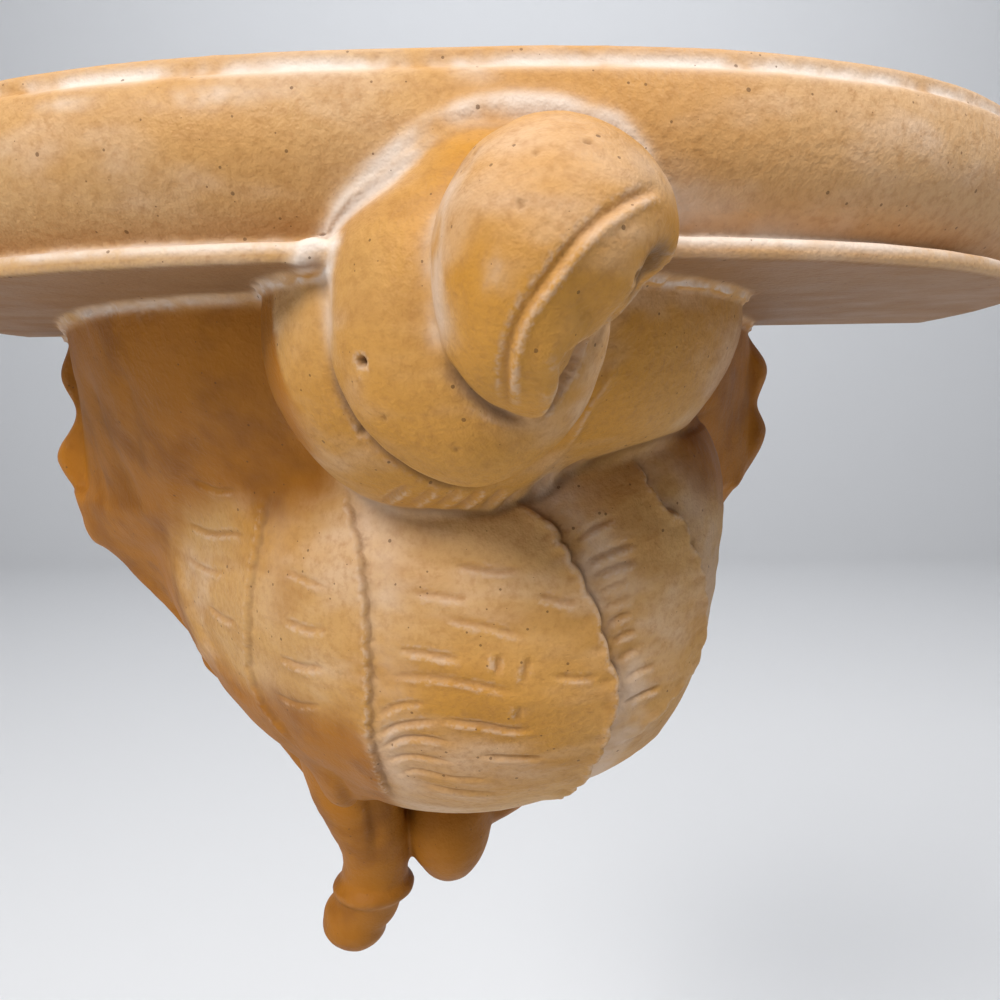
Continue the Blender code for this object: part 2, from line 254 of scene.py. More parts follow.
class Skin:
    """A fine, evenly meshed skin on which relief is worked and masks are measured."""

    def __init__(self, mesh: bpy.types.Mesh) -> None:
        """Reads the skin's vertices, normals and edges.

        Args:
            mesh: the evenly meshed skin.
        """
        self.mesh = mesh
        self.places = vertex_places(mesh)
        self.normals = vertex_places(mesh, "normal")
        edges = np.empty(len(mesh.edges) * 2, dtype=np.int64)
        mesh.edges.foreach_get("vertices", edges)
        edges = edges.reshape(-1, 2)
        self.near = np.concatenate([edges[:, 0], edges[:, 1]])
        self.far = np.concatenate([edges[:, 1], edges[:, 0]])
        self.neighbours = np.maximum(np.bincount(self.near, minlength=len(self.places)), 1)

    def averaged(self, values: np.ndarray, passes: int) -> np.ndarray:
        """Spreads values over the skin.

        Args:
            values: one number or one row for each vertex.
            passes: how often each vertex takes half of its neighbours' mean.

        Returns:
            The spread values.
        """
        columns = values.reshape(len(values), -1).copy()
        for _ in range(passes):
            for index in range(columns.shape[1]):
                column = columns[:, index]
                total = np.bincount(self.near, weights=column[self.far], minlength=len(column))
                columns[:, index] = 0.5 * (column + total / self.neighbours)
        return columns.reshape(values.shape)

    def relax(self, passes: int, share: np.ndarray | float = 1.0) -> None:
        """Softens the skin.

        Args:
            passes: how often it is softened.
            share: how strongly, from 0 to 1, for all of it or for each vertex.
        """
        share = np.broadcast_to(np.asarray(share, dtype=float), (len(self.places),))
        picked = np.nonzero(share > 0.002)[0]
        kept = share[self.near] > 0.002
        near, far = self.near[kept], self.far[kept]
        pull = 0.5 * share[picked]
        for _ in range(passes):
            for axis in range(3):
                column = self.places[:, axis]
                total = np.bincount(near, weights=column[far], minlength=len(column))[picked]
                self.places[picked, axis] += pull * (total / self.neighbours[picked] - column[picked])

    def refresh(self) -> None:
        """Writes the places back to the mesh and reads its new normals."""
        place_vertices(self.mesh, self.places)
        self.normals = vertex_places(self.mesh, "normal")

    def hollowness(self, passes: int) -> np.ndarray:
        """How far the skin lies under its own average, in metres: positive in a hollow."""
        return np.sum((self.averaged(self.places, passes) - self.places) * self.normals, axis=1)

    def front_places(self) -> np.ndarray:
        """Each vertex as (x, height), as the carver sees it from the front."""
        return np.stack([self.places[:, 0], self.places[:, 2] - UNDERSIDE], axis=1)

    def lift(self, relief: np.ndarray) -> None:
        """Moves the skin along its own normals.

        Args:
            relief: how far each vertex rises, in metres; a negative value sinks it.
        """
        self.places = self.places + self.normals * relief[:, None]


@dataclass
class Track:
    """Where places lie beside a line in the front view.

    Attributes:
        picked: the indices of the places near the line.
        distance: how far each is from the line, positive on the left of the way that it runs.
        along: how far along the line each is.
        length: the line's length.
    """

    picked: np.ndarray
    distance: np.ndarray
    along: np.ndarray
    length: float

    def taper(self, start: float, full: float) -> np.ndarray:
        """0 up to one distance from the line's ends, and 1 from another on."""
        return smooth_step(np.minimum(self.along, self.length - self.along), start, full)

    def band(self, width: float | np.ndarray, middle: float = 0.0) -> np.ndarray:
        """A soft band of a half-width, with its middle at a distance from the line."""
        return np.exp(-((self.distance - middle) / width) ** 2)


def track(places: np.ndarray, points: Points, reach: float, samples: int = 8) -> Track:
    """Measures places against a smooth line in the front view.

    Args:
        places: rows of (x, height).
        points: the points that the line passes, in millimetres.
        reach: places further away than this from the line's box aren't measured.
        samples: how many points the line has for each span.

    Returns:
        Where the places near it lie.
    """
    curve = open_curve(points, samples)
    low, high = curve.min(0) - reach, curve.max(0) + reach
    picked = np.nonzero(np.all((places > low) & (places < high), axis=1))[0]
    spots = places[picked]
    best = np.full(len(spots), np.inf)
    side = np.ones(len(spots))
    along = np.zeros(len(spots))
    travelled = 0.0
    for start, end in zip(curve, curve[1:]):
        run = end - start
        length = float(np.hypot(*run))
        away = spots - start
        share = np.clip(away @ run / length ** 2, 0.0, 1.0)
        distance = np.hypot(*(away - share[:, None] * run).T)
        closer = distance < best
        best = np.where(closer, distance, best)
        cross = away[:, 0] * run[1] - away[:, 1] * run[0]
        side = np.where(closer, np.where(cross < 0, 1.0, -1.0), side)
        along = np.where(closer, travelled + share * length, along)
        travelled += length
    return Track(picked, best * side, along, travelled)


def cloudy(places: np.ndarray, cell: float, seed: float) -> np.ndarray:
    """Soft unevenness, the same each run.

    Args:
        places: the places in metres.
        cell: the size of its swellings in metres.
        seed: tells one such field from another.

    Returns:
        A number from about -1 to 1 for each place.
    """
    scaled = places / cell + seed
    return np.array([noise.noise(Vector(row)) for row in scaled.tolist()])


@dataclass
class MouldedShelf:
    """The D-shaped shelf with its fillet, cushion band, groove and lip.

    Attributes:
        half_width: half of the plan's width.
        depth: from the wall to the plan's front.
        plan_power: 2 would be an ellipse, more is squarer.
        plan_sides: steps round the front.
    """

    half_width: float = 165 * MM
    depth: float = 167 * MM
    plan_power: float = 2.55
    plan_sides: int = 220
    fillet_height: float = 3.8 * MM
    fillet_slant: float = 0.9 * MM
    edge_round: float = 1.2 * MM
    crease_under_fillet: float = 0.9 * MM
    crease_inset: float = 0.7 * MM
    band_bulge: float = 3.2 * MM
    band_start: float = 0.08
    band_power: float = 0.8
    band_steps: int = 22
    groove_depth: float = 6.5 * MM
    lip_height: float = 5.0 * MM
    lip_out: float = 0.6 * MM
    lip_round: float = 1.0 * MM

    def plan_point(self, angle: float, inset: float) -> tuple[float, float]:
        """A point of the plan.

        Args:
            angle: 0 at the right end, pi at the left end.
            inset: how far inside the full plan.

        Returns:
            The point's x and y.
        """
        cosine = math.cos(angle)
        sine = max(math.sin(angle), 0.0)
        power = 2 / self.plan_power
        x = math.copysign((self.half_width - inset) * abs(cosine) ** power, cosine)
        return x, -(self.depth - inset) * sine ** power

    def profile(self) -> list[tuple[float, float]]:
        """The moulding from the upper face down.

        Returns:
            Its corners as (inset from the plan, drop below the top).
        """
        band_top = self.fillet_height + self.crease_under_fillet
        lip_top = SHELF_THICKNESS - self.lip_height
        groove = lip_top - self.edge_round
        steps = [
            (self.fillet_slant + self.edge_round, 0.0),
            (self.fillet_slant + 0.3 * self.edge_round, 0.3 * self.edge_round),
            (self.fillet_slant, self.edge_round),
            (self.fillet_slant, self.fillet_height),
            (self.fillet_slant + self.crease_inset, self.fillet_height + 0.3 * self.crease_under_fillet),
        ]
        for step in range(self.band_steps + 1):
            share = step / self.band_steps
            swell = math.sin(math.pi * (self.band_start + (1 - self.band_start) * share) ** self.band_power)
            roll = self.groove_depth * share ** 4
            steps.append((roll - self.band_bulge * swell, band_top + (groove - band_top) * share))
        steps.append((self.groove_depth, lip_top))
        steps.append((-self.lip_out, lip_top + self.lip_round))
        steps.append((-self.lip_out, SHELF_THICKNESS - self.lip_round))
        steps.append((self.lip_round - self.lip_out, SHELF_THICKNESS))
        return steps

    def build(self) -> bpy.types.Object:
        """Draws a disc out into the plan and extrudes it down the moulding, one step at a time.

        Returns:
            The shelf.
        """
        clear_selection()
        bpy.ops.mesh.primitive_circle_add(vertices=self.plan_sides + 1, fill_type="NGON")
        shelf = bpy.context.object
        shelf.name = "moulded_shelf"
        bpy.ops.object.mode_set(mode="EDIT")
        steps = self.profile()
        for index, (inset, drop) in enumerate(steps):
            if index:
                bpy.ops.mesh.extrude_region_move()
            plan = bmesh.from_edit_mesh(shelf.data)
            face = next(face for face in plan.faces if face.select)
            for corner, vertex in enumerate(face.verts):
                angle = math.pi * corner / self.plan_sides
                x, y = self.plan_point(angle, inset)
                at_wall = corner in (0, self.plan_sides)
                vertex.co = (x, BEHIND_WALL if at_wall else y, SHELF_TOP - drop)
            bmesh.update_edit_mesh(shelf.data)
        bpy.ops.mesh.select_all(action="SELECT")
        bpy.ops.mesh.normals_make_consistent(inside=False)
        bpy.ops.object.mode_set(mode="OBJECT")
        return shelf

    def outside(self, places: np.ndarray) -> np.ndarray:
        """How far places stand outside the plan, seen from above.

        Args:
            places: rows of x, y and z.

        Returns:
            A distance for each place, negative inside the plan.
        """
        power = self.plan_power
        share = (np.abs(places[:, 0]) / self.half_width) ** power
        share = (share + (np.abs(np.minimum(places[:, 1], 0)) / self.depth) ** power) ** (1 / power)
        return (share - 1) * np.hypot(places[:, 0], places[:, 1]) / np.maximum(share, 0.05)


@dataclass
class Pebble:
    """A round form of the shell: a sphere drawn out to an outline and domed to the front and back.

    Attributes:
        name: the maker's name for it.
        centre: its centre as x, y and height, in millimetres.
        outline: its outline about the centre, in metres.
        crest: the height over the outline's plane, from the share of the radius, the sphere's own
            depth there, x and height.
        lean: how much the plane falls back to the wall per unit of +X.
        edge_outline: an outline that takes over close to the edge.
        edge_fade: the power of the share with which it takes over.
        back_power: under 1 keeps the back nearly as wide as the outline.
    """

    name: str
    centre: tuple[float, float, float]
    outline: np.ndarray
    crest: Crest
    lean: float = 0.0
    edge_outline: np.ndarray | None = None
    edge_fade: float = 5.0
    back_power: float = 1.0
    sides: int = 240
    rings: int = 96

    def build(self) -> bpy.types.Object:
        """Adds a sphere and draws it out to the form.

        Returns:
            The closed form.
        """
        clear_selection()
        bpy.ops.mesh.primitive_uv_sphere_add(segments=self.sides, ring_count=self.rings, radius=1.0)
        form = bpy.context.object
        form.name = self.name
        across, up, side = vertex_places(form.data).T
        share = np.minimum(1.0, np.hypot(across, up))
        share = np.where(side < 0, share ** self.back_power, share)
        angle = np.arctan2(up, across)
        radius = radius_at(self.outline, angle)
        if self.edge_outline is not None:
            radius = radius + (radius_at(self.edge_outline, angle) - radius) * share ** self.edge_fade
        x = share * radius * np.cos(angle)
        height = share * radius * np.sin(angle)
        y = self.lean * x - self.crest(share, side, x, height)
        middle = np.array(self.centre) * MM
        places = np.stack([middle[0] + x, middle[1] + y, UNDERSIDE + middle[2] + height], axis=1)
        place_vertices(form.data, places)
        bpy.ops.object.mode_set(mode="EDIT")
        bpy.ops.mesh.select_all(action="SELECT")
        bpy.ops.mesh.normals_make_consistent(inside=False)
        bpy.ops.object.mode_set(mode="OBJECT")
        return form


def even_dome(front: float, back: float) -> Crest:
    """A dome of an even round.

    Args:
        front: its height in front of the outline's plane, in millimetres.
        back: its depth behind it.

    Returns:
        The dome as a crest.
    """
    return lambda share, side, x, height: side * np.where(side > 0, front, back) * MM


@dataclass
class WhelkBody:
    """The belly of the shell and the flared wings that run out against the wall."""

    belly_front: float = 85 * MM
    belly_back: float = 70 * MM
    belly_round: float = 0.5
    belly_slope: float = 0.95
    belly_runout: float = math.radians(165)
    wing_centre: tuple[float, float] = (-20.0, -57.0)
    wing_outline: Points = (
        (80, 24), (101, 18), (101, -1), (109, -15), (105.5, -28), (109, -39), (101.5, -54), (92, -68),
        (86, -90), (62, -132), (12, -186), (-38, -194), (-57, -180), (-74, -157), (-88.5, -137),
        (-101.5, -127), (-107, -113), (-122, -95), (-135, -81), (-144, -75), (-147, -60), (-154.5, -47),
        (-154, -41), (-146, -28), (-151, -14.5), (-147, -2), (-146, 18), (-120, 24),
    )
    wing_span: float = 121 * MM
    wing_edge: float = 8 * MM
    wing_edge_round: float = 0.25
    wing_low_rise: float = 60 * MM
    wing_high_rise: float = 118 * MM
    wing_high_round: float = 1.8
    wing_turn: float = 60 * MM
    lobe_reach: float = math.radians(12)

    def belly_crest(self, share: np.ndarray, side: np.ndarray, x: np.ndarray,
                    height: np.ndarray) -> np.ndarray:
        """The belly's dome: round on the right and below, sloping out into the left wing.

        Args:
            share: the share of the radius.
            side: the sphere's own depth there, negative at the back.
            x: the place across.
            height: the place up.

        Returns:
            The height over the outline's plane.
        """
        runout = np.maximum(0.0, np.cos(np.arctan2(height, x) - self.belly_runout)) ** 2
        power = self.belly_round + (self.belly_slope - self.belly_round) * runout
        front = self.belly_front * np.maximum(1 - share * share, 0.0) ** power
        return np.where(side <= 0, side * self.belly_back, front)

    def wing_crest(self, share: np.ndarray, side: np.ndarray, x: np.ndarray,
                   height: np.ndarray) -> np.ndarray:
        """The wings' low cone: a rounded edge, then a rise that is fuller towards the shelf.

        Args:
            share: the share of the radius.
            side: the sphere's own depth there, negative at the back.
            x: the place across.
            height: the place up.

        Returns:
            The height over the outline's plane.
        """
        spread = np.where(height < 0, share, np.minimum(1.0, np.abs(x) / self.wing_span))
        turn = smooth_step(height, -self.wing_turn, self.wing_turn)
        rise = self.wing_low_rise + (self.wing_high_rise - self.wing_low_rise) * turn
        swell = 1 - spread ** (1 + self.wing_high_round * turn)
        front = np.minimum(1.0, side / self.wing_edge_round) * (self.wing_edge + rise * swell)
        return np.where(side <= 0, side * BEHIND_WALL, front)

    def without_lobes(self, outline: np.ndarray) -> np.ndarray:
        """The wings' outline with its lobes averaged away, for the form inside the edge.

        Args:
            outline: the lobed outline.

        Returns:
            The plain outline.
        """
        angles = np.linspace(-np.pi, np.pi, 72, endpoint=False)
        turns = np.linspace(-self.lobe_reach, self.lobe_reach, 9)
        radii = np.mean([radius_at(outline, angles + turn) for turn in turns], axis=0)
        return np.stack([np.cos(angles), np.sin(angles)], 1) * radii[:, None]

    def pebbles(self) -> list[Pebble]:
        """The belly and the wings.

        Returns:
            The two forms.
        """
        lobed = closed_curve((np.array(self.wing_outline) - np.array(self.wing_centre)) * MM)
        belly = Pebble(
            "belly", (-5, -43, -80),
            outline_from_radii((81.2, 90.8, 80.9, 80.0, 92.0, 112.0, 108.0, 92.0, 78.0, 74.4, 74.3, 79.5)),
            self.belly_crest, lean=-0.25, back_power=0.3,
        )
        wings = Pebble(
            "wings", (self.wing_centre[0], 0.0, self.wing_centre[1]), self.without_lobes(lobed),
            self.wing_crest, edge_outline=lobed, sides=420,
        )
        return [belly, wings]


@dataclass
class Spire:
    """The shell's turns from its crown back to the shoulder, each a form that overlaps the next."""

    def pebbles(self) -> list[Pebble]:
        """The crown, the second turn and the shoulder turn.

        Returns:
            The three forms.
        """
        crown = Pebble(
            "crown", (24, -182, -3),
            outline_from_radii((21.4, 23.0, 23.5, 23.3, 21.5, 20.1, 19.4, 21.3, 25.1, 24.8, 15.9, 17.7)),
            even_dome(23, 22),
        )
        second = Pebble(
            "second_turn", (10, -160, -6),
            outline_from_radii((27.3, 29.5, 34.1, 32.4, 27.0, 27.2, 26.9, 29.9, 33.4, 36.2, 32.5, 28.7)),
            even_dome(21, 40),
        )
        shoulder = Pebble(
            "shoulder_turn", (9, -105, -3),
            outline_from_radii((68.1, 50.0, 36.0, 30.0, 34.0, 43.0, 48.2, 52.0, 53.4, 50.9, 48.4, 61.6)),
            even_dome(60, 118), lean=0.25, back_power=0.3,
        )
        return [crown, second, shoulder]


@dataclass
class Tail:
    """The canal that runs down the wall, its collar and knob, and the lobe beside it."""

    path: Points = (
        (-48, -30, -100, 20), (-44, -40, -140, 17), (-39.5, -33, -164, 14.5), (-35.5, -26, -180, 12.5),
        (-35, -21, -193, 12), (-38.5, -18, -206, 12.5), (-42, -16, -214, 12),
    )
    knob: tuple[float, ...] = (-45.5, -16, -218.5, 12.2, 12.2, 12.2)
    collar: tuple[float, ...] = (-37.5, -19, -203.5, 15.5, 16, 6)
    lobe: tuple[float, ...] = (-9.5, -12, -178, 16.5, 24, 26)
    root: tuple[float, ...] = (-36, -56, -128, 12.5, 30, 27)

    def add_bead(self, name: str, size: tuple[float, ...]) -> bpy.types.Object:
        """A sphere stretched in place.

        Args:
            name: the maker's name for it.
            size: its centre as x, y and height, and its half-sizes, in millimetres.

        Returns:
            The stretched sphere.
        """
        clear_selection()
        bpy.ops.mesh.primitive_uv_sphere_add(segments=96, ring_count=48, radius=1.0)
        bead = bpy.context.object
        bead.name = name
        centre = np.array(size[:3]) * MM + np.array([0, 0, UNDERSIDE])
        place_vertices(bead.data, vertex_places(bead.data) * np.array(size[3:]) * MM + centre)
        return bead

    def add_canal(self) -> bpy.types.Object:
        """A round tube whose radius follows its path, made a mesh.

        Returns:
            The closed tube.
        """
        clear_selection()
        bpy.ops.curve.primitive_nurbs_path_add()
        canal = bpy.context.object
        canal.name = "canal"
        data = canal.data
        data.splines.clear()
        data.bevel_depth = MM
        data.bevel_resolution = 10
        data.use_fill_caps = True
        spline = data.splines.new("NURBS")
        spline.points.add(len(self.path) - 1)
        for point, (x, y, height, radius) in zip(spline.points, self.path):
            point.co = (x * MM, y * MM, UNDERSIDE + height * MM, 1.0)
            point.radius = radius
        spline.use_endpoint_u = True
        spline.order_u = 4
        bpy.ops.object.convert(target="MESH")
        return bpy.context.object

    def build(self) -> list[bpy.types.Object]:
        """Makes the canal and the beads on it.

        Returns:
            The tail's forms.
        """
        return [
            self.add_canal(),
            self.add_bead("knob", self.knob),
            self.add_bead("collar", self.collar),
            self.add_bead("lobe", self.lobe),
            self.add_bead("root", self.root),
        ]


@dataclass
class Plates:
    """The overlapping plates of the belly, each with a raised, lobed free edge on its right.

    Attributes:
        edges: the free edges from left to right, as points (x, height).
        lift: how proud each edge stands.
        sink: how far the next plate lies under it.
    """

    edges: tuple[Points, ...] = (
        ((-65, -22), (-68, -30), (-75, -43), (-85, -60), (-88, -74), (-85, -86), (-77, -100), (-62, -116)),
        ((-46.8, -46), (-49, -56), (-51, -64), (-53.5, -75), (-56, -90), (-57.5, -100), (-54, -111),
         (-45, -124)),
        ((-25.5, -45), (-21.8, -56), (-19.5, -64.5), (-18.3, -79), (-18.4, -96), (-19.4, -110),
         (-18.6, -123), (-17.5, -137)),
        ((16, -49), (22, -51.5), (26, -54), (30, -61), (35, -71), (37.3, -77), (39.5, -86), (42, -94),
         (41.5, -100), (40, -109), (38, -116), (34, -128), (24, -140)),
        ((45, -39), (49, -44), (52.6, -51), (57.4, -54), (61, -61), (65.4, -71), (67.2, -84), (66, -94),
         (61, -100.5), (54, -107), (44, -116)),
    )
    lift: tuple[float, ...] = (0.9, 0.8, 0.75, 1.7, 1.6)
    sink: tuple[float, ...] = (0.5, 0.6, 0.45, 2.0, 1.4)
    softness: tuple[float, ...] = (3.0, 1.2, 0.7, 0.7, 0.8)
    beads: tuple[float, ...] = (0.0, 0.4, 0.55, 1.0, 0.9)
    residue: tuple[float, ...] = (0.0, 0.2, 0.4, 1.0, 0.5)
    lift_reach: float = 7 * MM
    sink_reach: float = 10 * MM
    lobe_pitch: tuple[float, ...] = (7.0, 6.0, 5.5, 8.0, 8.5)
    lobe_depth: tuple[float, ...] = (0.5, 0.7, 0.8, 1.0, 1.2)
    valley: float = 5 * MM
    end_fade: float = 9 * MM
    reach: float = 40 * MM
    lobe_power: float = 0.7
    lobe_wander: float = 0.55
    bead_width: float = 1.3 * MM
    bead_inset: float = 1.2 * MM
    bead_rise: float = 0.45 * MM
    tick_depth: float = 0.45 * MM
    tick_share: float = 0.10
    tick_reach: float = 2.4 * MM
    shadow_width: float = 0.55 * MM

    def relief(self, places: np.ndarray, wander: np.ndarray) -> tuple[np.ndarray, ...]:
        """How far the edges lift or sink the shell.

        Args:
            places: rows of (x, height).
            wander: a soft unevenness that keeps the lobes from being alike.

        Returns:
            A rise in metres for each place, how much painted shadow lies beside the edges, and how much
            pale residue lies in the valleys beside them.
        """
        relief = np.zeros(len(places))
        recess_shade = np.zeros(len(places))
        pale = np.zeros(len(places))
        for number, points in enumerate(self.edges):
            line = track(places, points, self.reach)
            phase = line.along / (self.lobe_pitch[number] * MM) + self.lobe_wander * wander[line.picked]
            wave = np.abs(np.sin(np.pi * phase))
            lobes = wave ** self.lobe_power
            line.distance = line.distance - self.lobe_depth[number] * MM * (lobes - 0.5)
            soft = self.softness[number] * MM
            inside = np.exp(np.minimum(line.distance, 0.0) / self.lift_reach)
            under = np.exp(-np.maximum(line.distance, 0.0) / self.sink_reach)
            step = smooth_step(line.distance, -soft, soft)
            bead = line.band(self.bead_width, -self.bead_inset) * self.bead_rise * (0.3 + lobes)
            tick = np.exp(-(1 - wave) / self.tick_share) * self.tick_depth
            tick = tick * line.band(self.tick_reach, -self.tick_reach)
            ends = line.taper(0.0, self.end_fade)
            raised = self.lift[number] * MM * inside + self.beads[number] * (bead - tick)
            change = raised * (1 - step) - self.sink[number] * MM * under * step
            relief[line.picked] += change * ends
            # painted shadow beside each raised edge, on the side of the plate that lies under it
            shadow = line.band(self.shadow_width, self.shadow_width) * ends
            shadow = shadow * self.beads[number] * (0.5 + 0.5 * lobes)
            recess_shade[line.picked] = np.maximum(recess_shade[line.picked], shadow)
            valley = line.band(self.valley, self.valley) * (line.distance > 0) * ends * self.residue[number]
            pale[line.picked] = np.maximum(pale[line.picked], valley)
        return relief, recess_shade, pale


@dataclass
class Strokes:
    """Short lines that the modeller drew into the wet clay, each as points (x, height).

    Attributes:
        wrinkles: the long folds across the front plate and beside it.
        nicks: short upright nicks on the front plate.
        gouges: the slanted cuts at the foot of the shoulder.
        behind: strokes are drawn only behind this y, so that none crosses the spire.
        burr: the burr's height as a share of the stroke's depth.
        burr_width: the burr's width as a share of the stroke's.
        burr_place: the burr's distance from the stroke, in widths of the stroke.
        taper: the share of the length over which a stroke fades at each end.
    """

    wrinkles: tuple[Points, ...] = (
        ((2, -64), (6, -63.6), (13, -64.6), (20, -64.3)),
        ((-1, -75), (6, -76.6), (12, -77.8), (22, -81)),
        ((-16, -92), (-8, -90.6), (2, -90.8), (12, -92.6), (20, -95)),
        ((-3, -102), (8, -102.8), (16, -104.4), (24, -104.8)),
        ((7, -112.4), (16, -113.4), (26, -114)),
        ((-9, -124), (0, -126.4), (14, -128)),
        ((-18, -104), (-13.4, -100), (-8, -98), (-2, -98)),
        ((-18.3, -109.6), (-12.6, -105.1), (-6, -103.2), (0, -102.6)),
        ((-18, -114.1), (-11.6, -108.9), (-5, -108), (3, -109.2)),
        ((-18, -118.9), (-11, -114.8), (-5, -114.4), (3, -116)),
        ((-16, -124), (-9, -119.6), (0, -121), (12, -121.6)),
        ((-8, -70), (0, -70.6), (8, -71.6)), ((-12, -84), (-4, -84.6), (6, -86)),
        ((22, -70), (29, -72), (33, -72.4)), ((25, -90), (32, -91), (38, -91)),
        ((31.5, -58.5), (36, -55.4), (42, -53)), ((33.7, -64), (40, -61.2), (47, -59.3)),
        ((35.2, -67.4), (41, -65), (48, -63.6)), ((36.8, -71.6), (41, -69.4), (46, -68)),
        ((38.4, -75.8), (42, -73.8), (47, -72.4)), ((39.8, -79.9), (43, -77.8), (47, -76.4)),
        ((41, -84.4), (44, -82.4), (48, -81.2)), ((42.3, -89.8), (45, -87.6), (49, -86.2)),
        ((44, -95), (48, -92.6), (54, -91.4)), ((44, -102), (49, -99.4), (55, -98)),
        ((-82, -60.5), (-70, -62), (-60, -60.6), (-53, -61)), ((-85, -71.8), (-72, -73), (-61, -71.6)),
        ((-43, -67.4), (-35, -69.4), (-28, -71)), ((-43, -80.6), (-35, -82), (-28, -81)),
        ((-46, -92), (-38, -93), (-30, -91.6)), ((-74, -84), (-66, -86), (-59, -85)),
        ((-50, -104), (-42, -105.4), (-32, -103)), ((-73, -46), (-64, -49), (-56, -48)),
    )
    wrinkle_depth: float = 1.0 * MM
    wrinkle_width: float = 0.66 * MM
    nicks: tuple[Points, ...] = (
        ((13.7, -84), (13.2, -90)), ((20.9, -84.7), (20, -89), (19.5, -92.5)),
        ((18.5, -97.4), (17.9, -102)),
    )
    nick_depth: float = 1.0 * MM
    nick_width: float = 0.7 * MM
    gouges: tuple[Points, ...] = (
        ((-13, -49), (-8, -45.5), (-4, -43)), ((-7, -50), (-2, -46.5), (1, -43.6)),
        ((-1, -50), (3, -47.4), (7, -44)), ((4, -50.5), (7, -48.4), (11, -44.6)),
        ((9.7, -51), (12.6, -48.4), (16, -44.6)), ((14.3, -50.4), (17.4, -47.8), (21.6, -44.4)),
        ((20, -49), (24, -46), (28, -43)), ((27, -46), (31, -42.6), (36, -39.6)),
    )
    gouge_depth: float = 1.2 * MM
    gouge_width: float = 0.6 * MM
    behind: float = -150 * MM
    burr: float = 0.42
    burr_width: float = 1.5
    burr_place: float = 2.3
    taper: float = 0.28
    reach: float = 8 * MM
    samples: int = 5

    def relief(self, places: np.ndarray, fronts: np.ndarray) -> np.ndarray:
        """How far the strokes sink the shell, with a low burr along the lower side of each.

        Args:
            places: rows of (x, height).
            fronts: each place's y.

        Returns:
            A rise in metres for each place, mostly negative.
        """
        relief = np.zeros(len(places))
        kinds = (
            (self.wrinkles, self.wrinkle_depth, self.wrinkle_width),
            (self.nicks, self.nick_depth, self.nick_width),
            (self.gouges, self.gouge_depth, self.gouge_width),
        )
        for lines, depth, width in kinds:
            for number, points in enumerate(lines):
                line = track(places, points, self.reach, self.samples)
                pressed = depth * (0.6 + 0.4 * math.sin(2.4 * number + 1) ** 2)
                burr = self.burr * line.band(self.burr_width * width, -self.burr_place * width)
                ends = line.taper(0.0, self.taper * line.length)
                relief[line.picked] += (burr - line.band(width)) * pressed * ends
        return np.where(fronts > self.behind, relief, 0.0)


